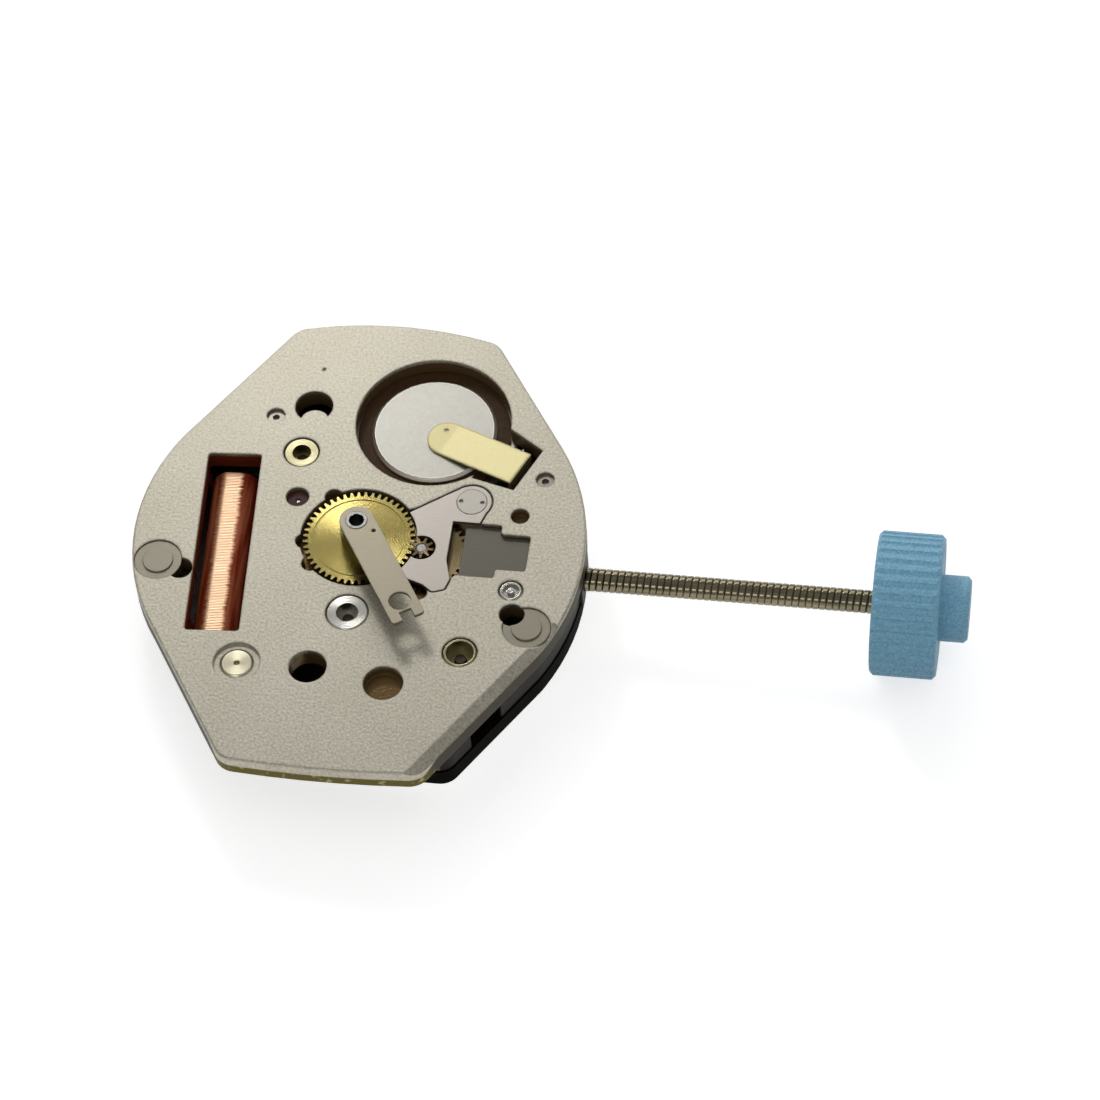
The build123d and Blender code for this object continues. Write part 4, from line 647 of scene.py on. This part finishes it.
# %% Winding
coil_length = 7.15 * MM
wire_pitch = 0.064 * MM  # real turns are about four times finer, too fine to show
wire_height = 0.008 * MM  # lacquer fills the grooves, so a turn stands up only this much each way
flat_top = 0.775 * MM  # the bar under the wire is flat, so the coil is a little flat on top as well
steps = 60  # sections in a turn
wire_sides = 8  # points in a section
under_drop = 0.012 * MM  # from the wire to the layer before
under_flat_drop = 0.02 * MM  # the same on the flat top
under_sides = 72  # points in a section of it
under_spans = 24  # lengths between its sections
turns = int(coil_length / wire_pitch)
wander = random.Random(3)
wobble = [wander.uniform(0.0, 0.005) * MM for _ in range(turns + 1)]
flat_wobble = 1.5  # on the flat top the step of a turn counts half as much again


def wound_place(angle, reach, flat):
    """A place round the coil's axis at an angle, on a circle with its top cut off flat at a height."""
    return coil_side * (reach * math.cos(angle)) + Vector((0, 0, min(reach * math.sin(angle), flat)))


wire_rings = []
for i in range(turns * steps + 1):
    angle = 2 * math.pi * i / steps
    step_in = wobble[i // steps]
    reach = coil_radius - wire_height - step_in
    along_coil = coil_axis * ((i / (turns * steps) - 0.5) * (coil_length - wire_pitch))
    ring = []
    for t in (2 * math.pi * j / wire_sides for j in range(wire_sides)):
        swell = wire_height * math.cos(t)
        ring.append(coil_middle
                    + wound_place(angle, reach + swell, flat_top + swell - flat_wobble * step_in)
                    + along_coil + coil_axis * (wire_pitch / 2 * math.sin(t)))
    wire_rings.append(ring)
coil_wire = pipe("coil_wire", wire_rings)

under_reach = coil_radius - 1.2 * wire_height - under_drop  # just clear of the deepest turn
under_length = coil_length - 2 * wire_pitch
coil_under_layer = pipe("coil_under_layer", [
    [coil_middle + wound_place(2 * math.pi * j / under_sides, under_reach, flat_top - under_flat_drop)
     + coil_axis * ((i / under_spans - 0.5) * under_length) for j in range(under_sides)]
    for i in range(under_spans + 1)])
for piece in (coil_wire, coil_under_layer):
    piece.data.materials.append(copper)
    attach(piece, "movement")
    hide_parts("coil_winding")
print("turns of wire:", turns)

# %% [markdown]
# ## Floor and light
# The movement lies on a white table, tipped a little because the knob is the widest thing on it. The
# floor is found from the two places that touch: the edge of the back and the rim of the knob. It is lit
# like any white card, and where the camera or a mirror sees it, it also glows, so it reads as pure
# white and keeps the shadow. What it throws back up is kept low, as from a grey table, so that
# undersides stay dark.

# %% White floor
floor_reach = 0.6  # metres
floor_gap = 0.02 * MM
card_glow = 0.62
back_low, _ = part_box("back_cover")
knob_low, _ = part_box("crown_knob")
slope = (knob_low[2] - back_low[2]) / (knob_low[0] - back_low[0])
floor_shape = bmesh.new()
floor_shape.faces.new([
    floor_shape.verts.new((x, y, back_low[2] + slope * (x - back_low[0]) - floor_gap))
    for x, y in ((-floor_reach, -floor_reach), (floor_reach, -floor_reach),
                 (floor_reach, floor_reach), (-floor_reach, floor_reach))])
floor = add_shape("floor", floor_shape)

white_card = bpy.data.materials.new("white card")
white_card.use_nodes = True
tree = white_card.node_tree
tree.nodes.clear()
path = add_node(tree, "ShaderNodeLightPath").outputs
mirrored = calc(tree, "MAXIMUM", path["Is Glossy Ray"], path["Is Transmission Ray"])
shown = calc(tree, "MAXIMUM", path["Is Camera Ray"], mirrored)
card = add_node(tree, "ShaderNodeBsdfDiffuse", {
    "Color": mix(tree, shown, linear("#707070"), linear("#f4f4f4"))})
glow = add_node(tree, "ShaderNodeEmission", {"Strength": calc(tree, "MULTIPLY", shown, card_glow)})
both = add_node(tree, "ShaderNodeAddShader", {0: card.outputs[0], 1: glow.outputs[0]})
add_node(tree, "ShaderNodeOutputMaterial", {"Surface": both.outputs[0]})
floor.data.materials.append(white_card)
print("floor tilts by", round(math.degrees(math.atan(slope)), 2), "degrees")

# %% [markdown]
# Metal shows what is round it more than its own colour. A soft box stands close behind twelve o'clock,
# a little to the left. Its upper edge is mirrored just above the hands' axis, so matt faces fade from
# twelve down to six, and the polished hour wheel lies past that edge and looks darker. A small lamp
# gives the glints on edges. The sky is grey, a little lighter at the horizon than overhead, which draws
# a light and a dark side on every round part. Seen straight past the table's edge, the room is as white
# as the table.

# %% Lamps and sky
aim = Vector((6.2936, 0.4903, -0.5783)) * MM  # what camera and lamps point at
horizon_level, overhead_level = 0.45, 0.34


def soft_box(name, direction, distance, width, height, radiance):
    """A rectangular lamp at a distance in metres, as bright as a surface of that radiance."""
    lamp = bpy.data.lights.new(name, "AREA")
    lamp.shape = "RECTANGLE"
    lamp.size = width
    lamp.size_y = height
    lamp.energy = radiance * math.pi * width * height
    holder = add_object(name, lamp)
    away = Vector(direction).normalized()
    holder.location = aim + away * distance
    holder.rotation_mode = "QUATERNION"
    holder.rotation_quaternion = away.to_track_quat("Z", "Y")
    return holder


lamps = [
    soft_box("key_lamp", (-0.44, 0.87, 0.89), distance=0.08, width=0.012, height=0.012, radiance=15.0),
    soft_box("window_light", (-0.14, 0.79, 0.55), distance=0.095, width=0.1, height=0.05, radiance=1.5),
    soft_box("front_card", (-0.12, -0.8, 0.57), distance=0.2, width=0.1, height=0.05, radiance=2.0)]

world = bpy.data.worlds.new("pale sky")
bpy.context.scene.world = world
world.use_nodes = True
tree = world.node_tree
tree.nodes.clear()
sky_way = add_node(tree, "ShaderNodeTexCoord")
sky_xyz = add_node(tree, "ShaderNodeSeparateXYZ", {"Vector": sky_way.outputs["Generated"]})
sky_level = ramp(tree, sky_xyz.outputs["Z"], (0.0, 0.7), (horizon_level, overhead_level))
seen_directly = add_node(tree, "ShaderNodeLightPath").outputs["Is Camera Ray"]
sky = add_node(tree, "ShaderNodeBackground", {
    "Color": linear("#ffffff"), "Strength": calc(tree, "MAXIMUM", seen_directly, sky_level)})
add_node(tree, "ShaderNodeOutputWorld", {"Surface": sky.outputs[0]})
print("lamps:", ", ".join(lamp.name for lamp in lamps))

# %% [markdown]
# ## Camera
# The photograph was taken from above the knob's side of six o'clock, close, with a long lens. Three
# angles and a distance say it: round the movement, up from the dial, and a small roll.

# %% Camera
camera_azimuth = math.radians(11.831)
camera_elevation = math.radians(54.489)
camera_roll = math.radians(-5.143)
camera_distance = 0.150  # metres
image_width = 1100  # pixels
focal_pixels = 4530

back = Vector((math.sin(camera_azimuth) * math.cos(camera_elevation),
               -math.cos(camera_azimuth) * math.cos(camera_elevation), math.sin(camera_elevation)))
level_right = Vector((math.cos(camera_azimuth), math.sin(camera_azimuth), 0))
level_up = back.cross(level_right)
right = level_right * math.cos(camera_roll) + level_up * math.sin(camera_roll)
up = back.cross(right)
lens = bpy.data.cameras.new("camera")
lens.sensor_width = 36.0  # mm
lens.lens = focal_pixels / image_width * lens.sensor_width
lens.clip_start = 0.005
lens.clip_end = 10.0
camera = add_object("camera", lens)
turn = Matrix((right, up, back)).transposed()
camera.matrix_world = Matrix.Translation(aim + back * camera_distance) @ turn.to_4x4()
bpy.context.scene.camera = camera
bpy.context.scene.view_settings.view_transform = "Standard"
print("lens in mm:", round(lens.lens, 2))

# %% [markdown]
# ## Finish
# The view layer is brought up to date.

# %% Bring the scene up to date
bpy.context.view_layer.update()
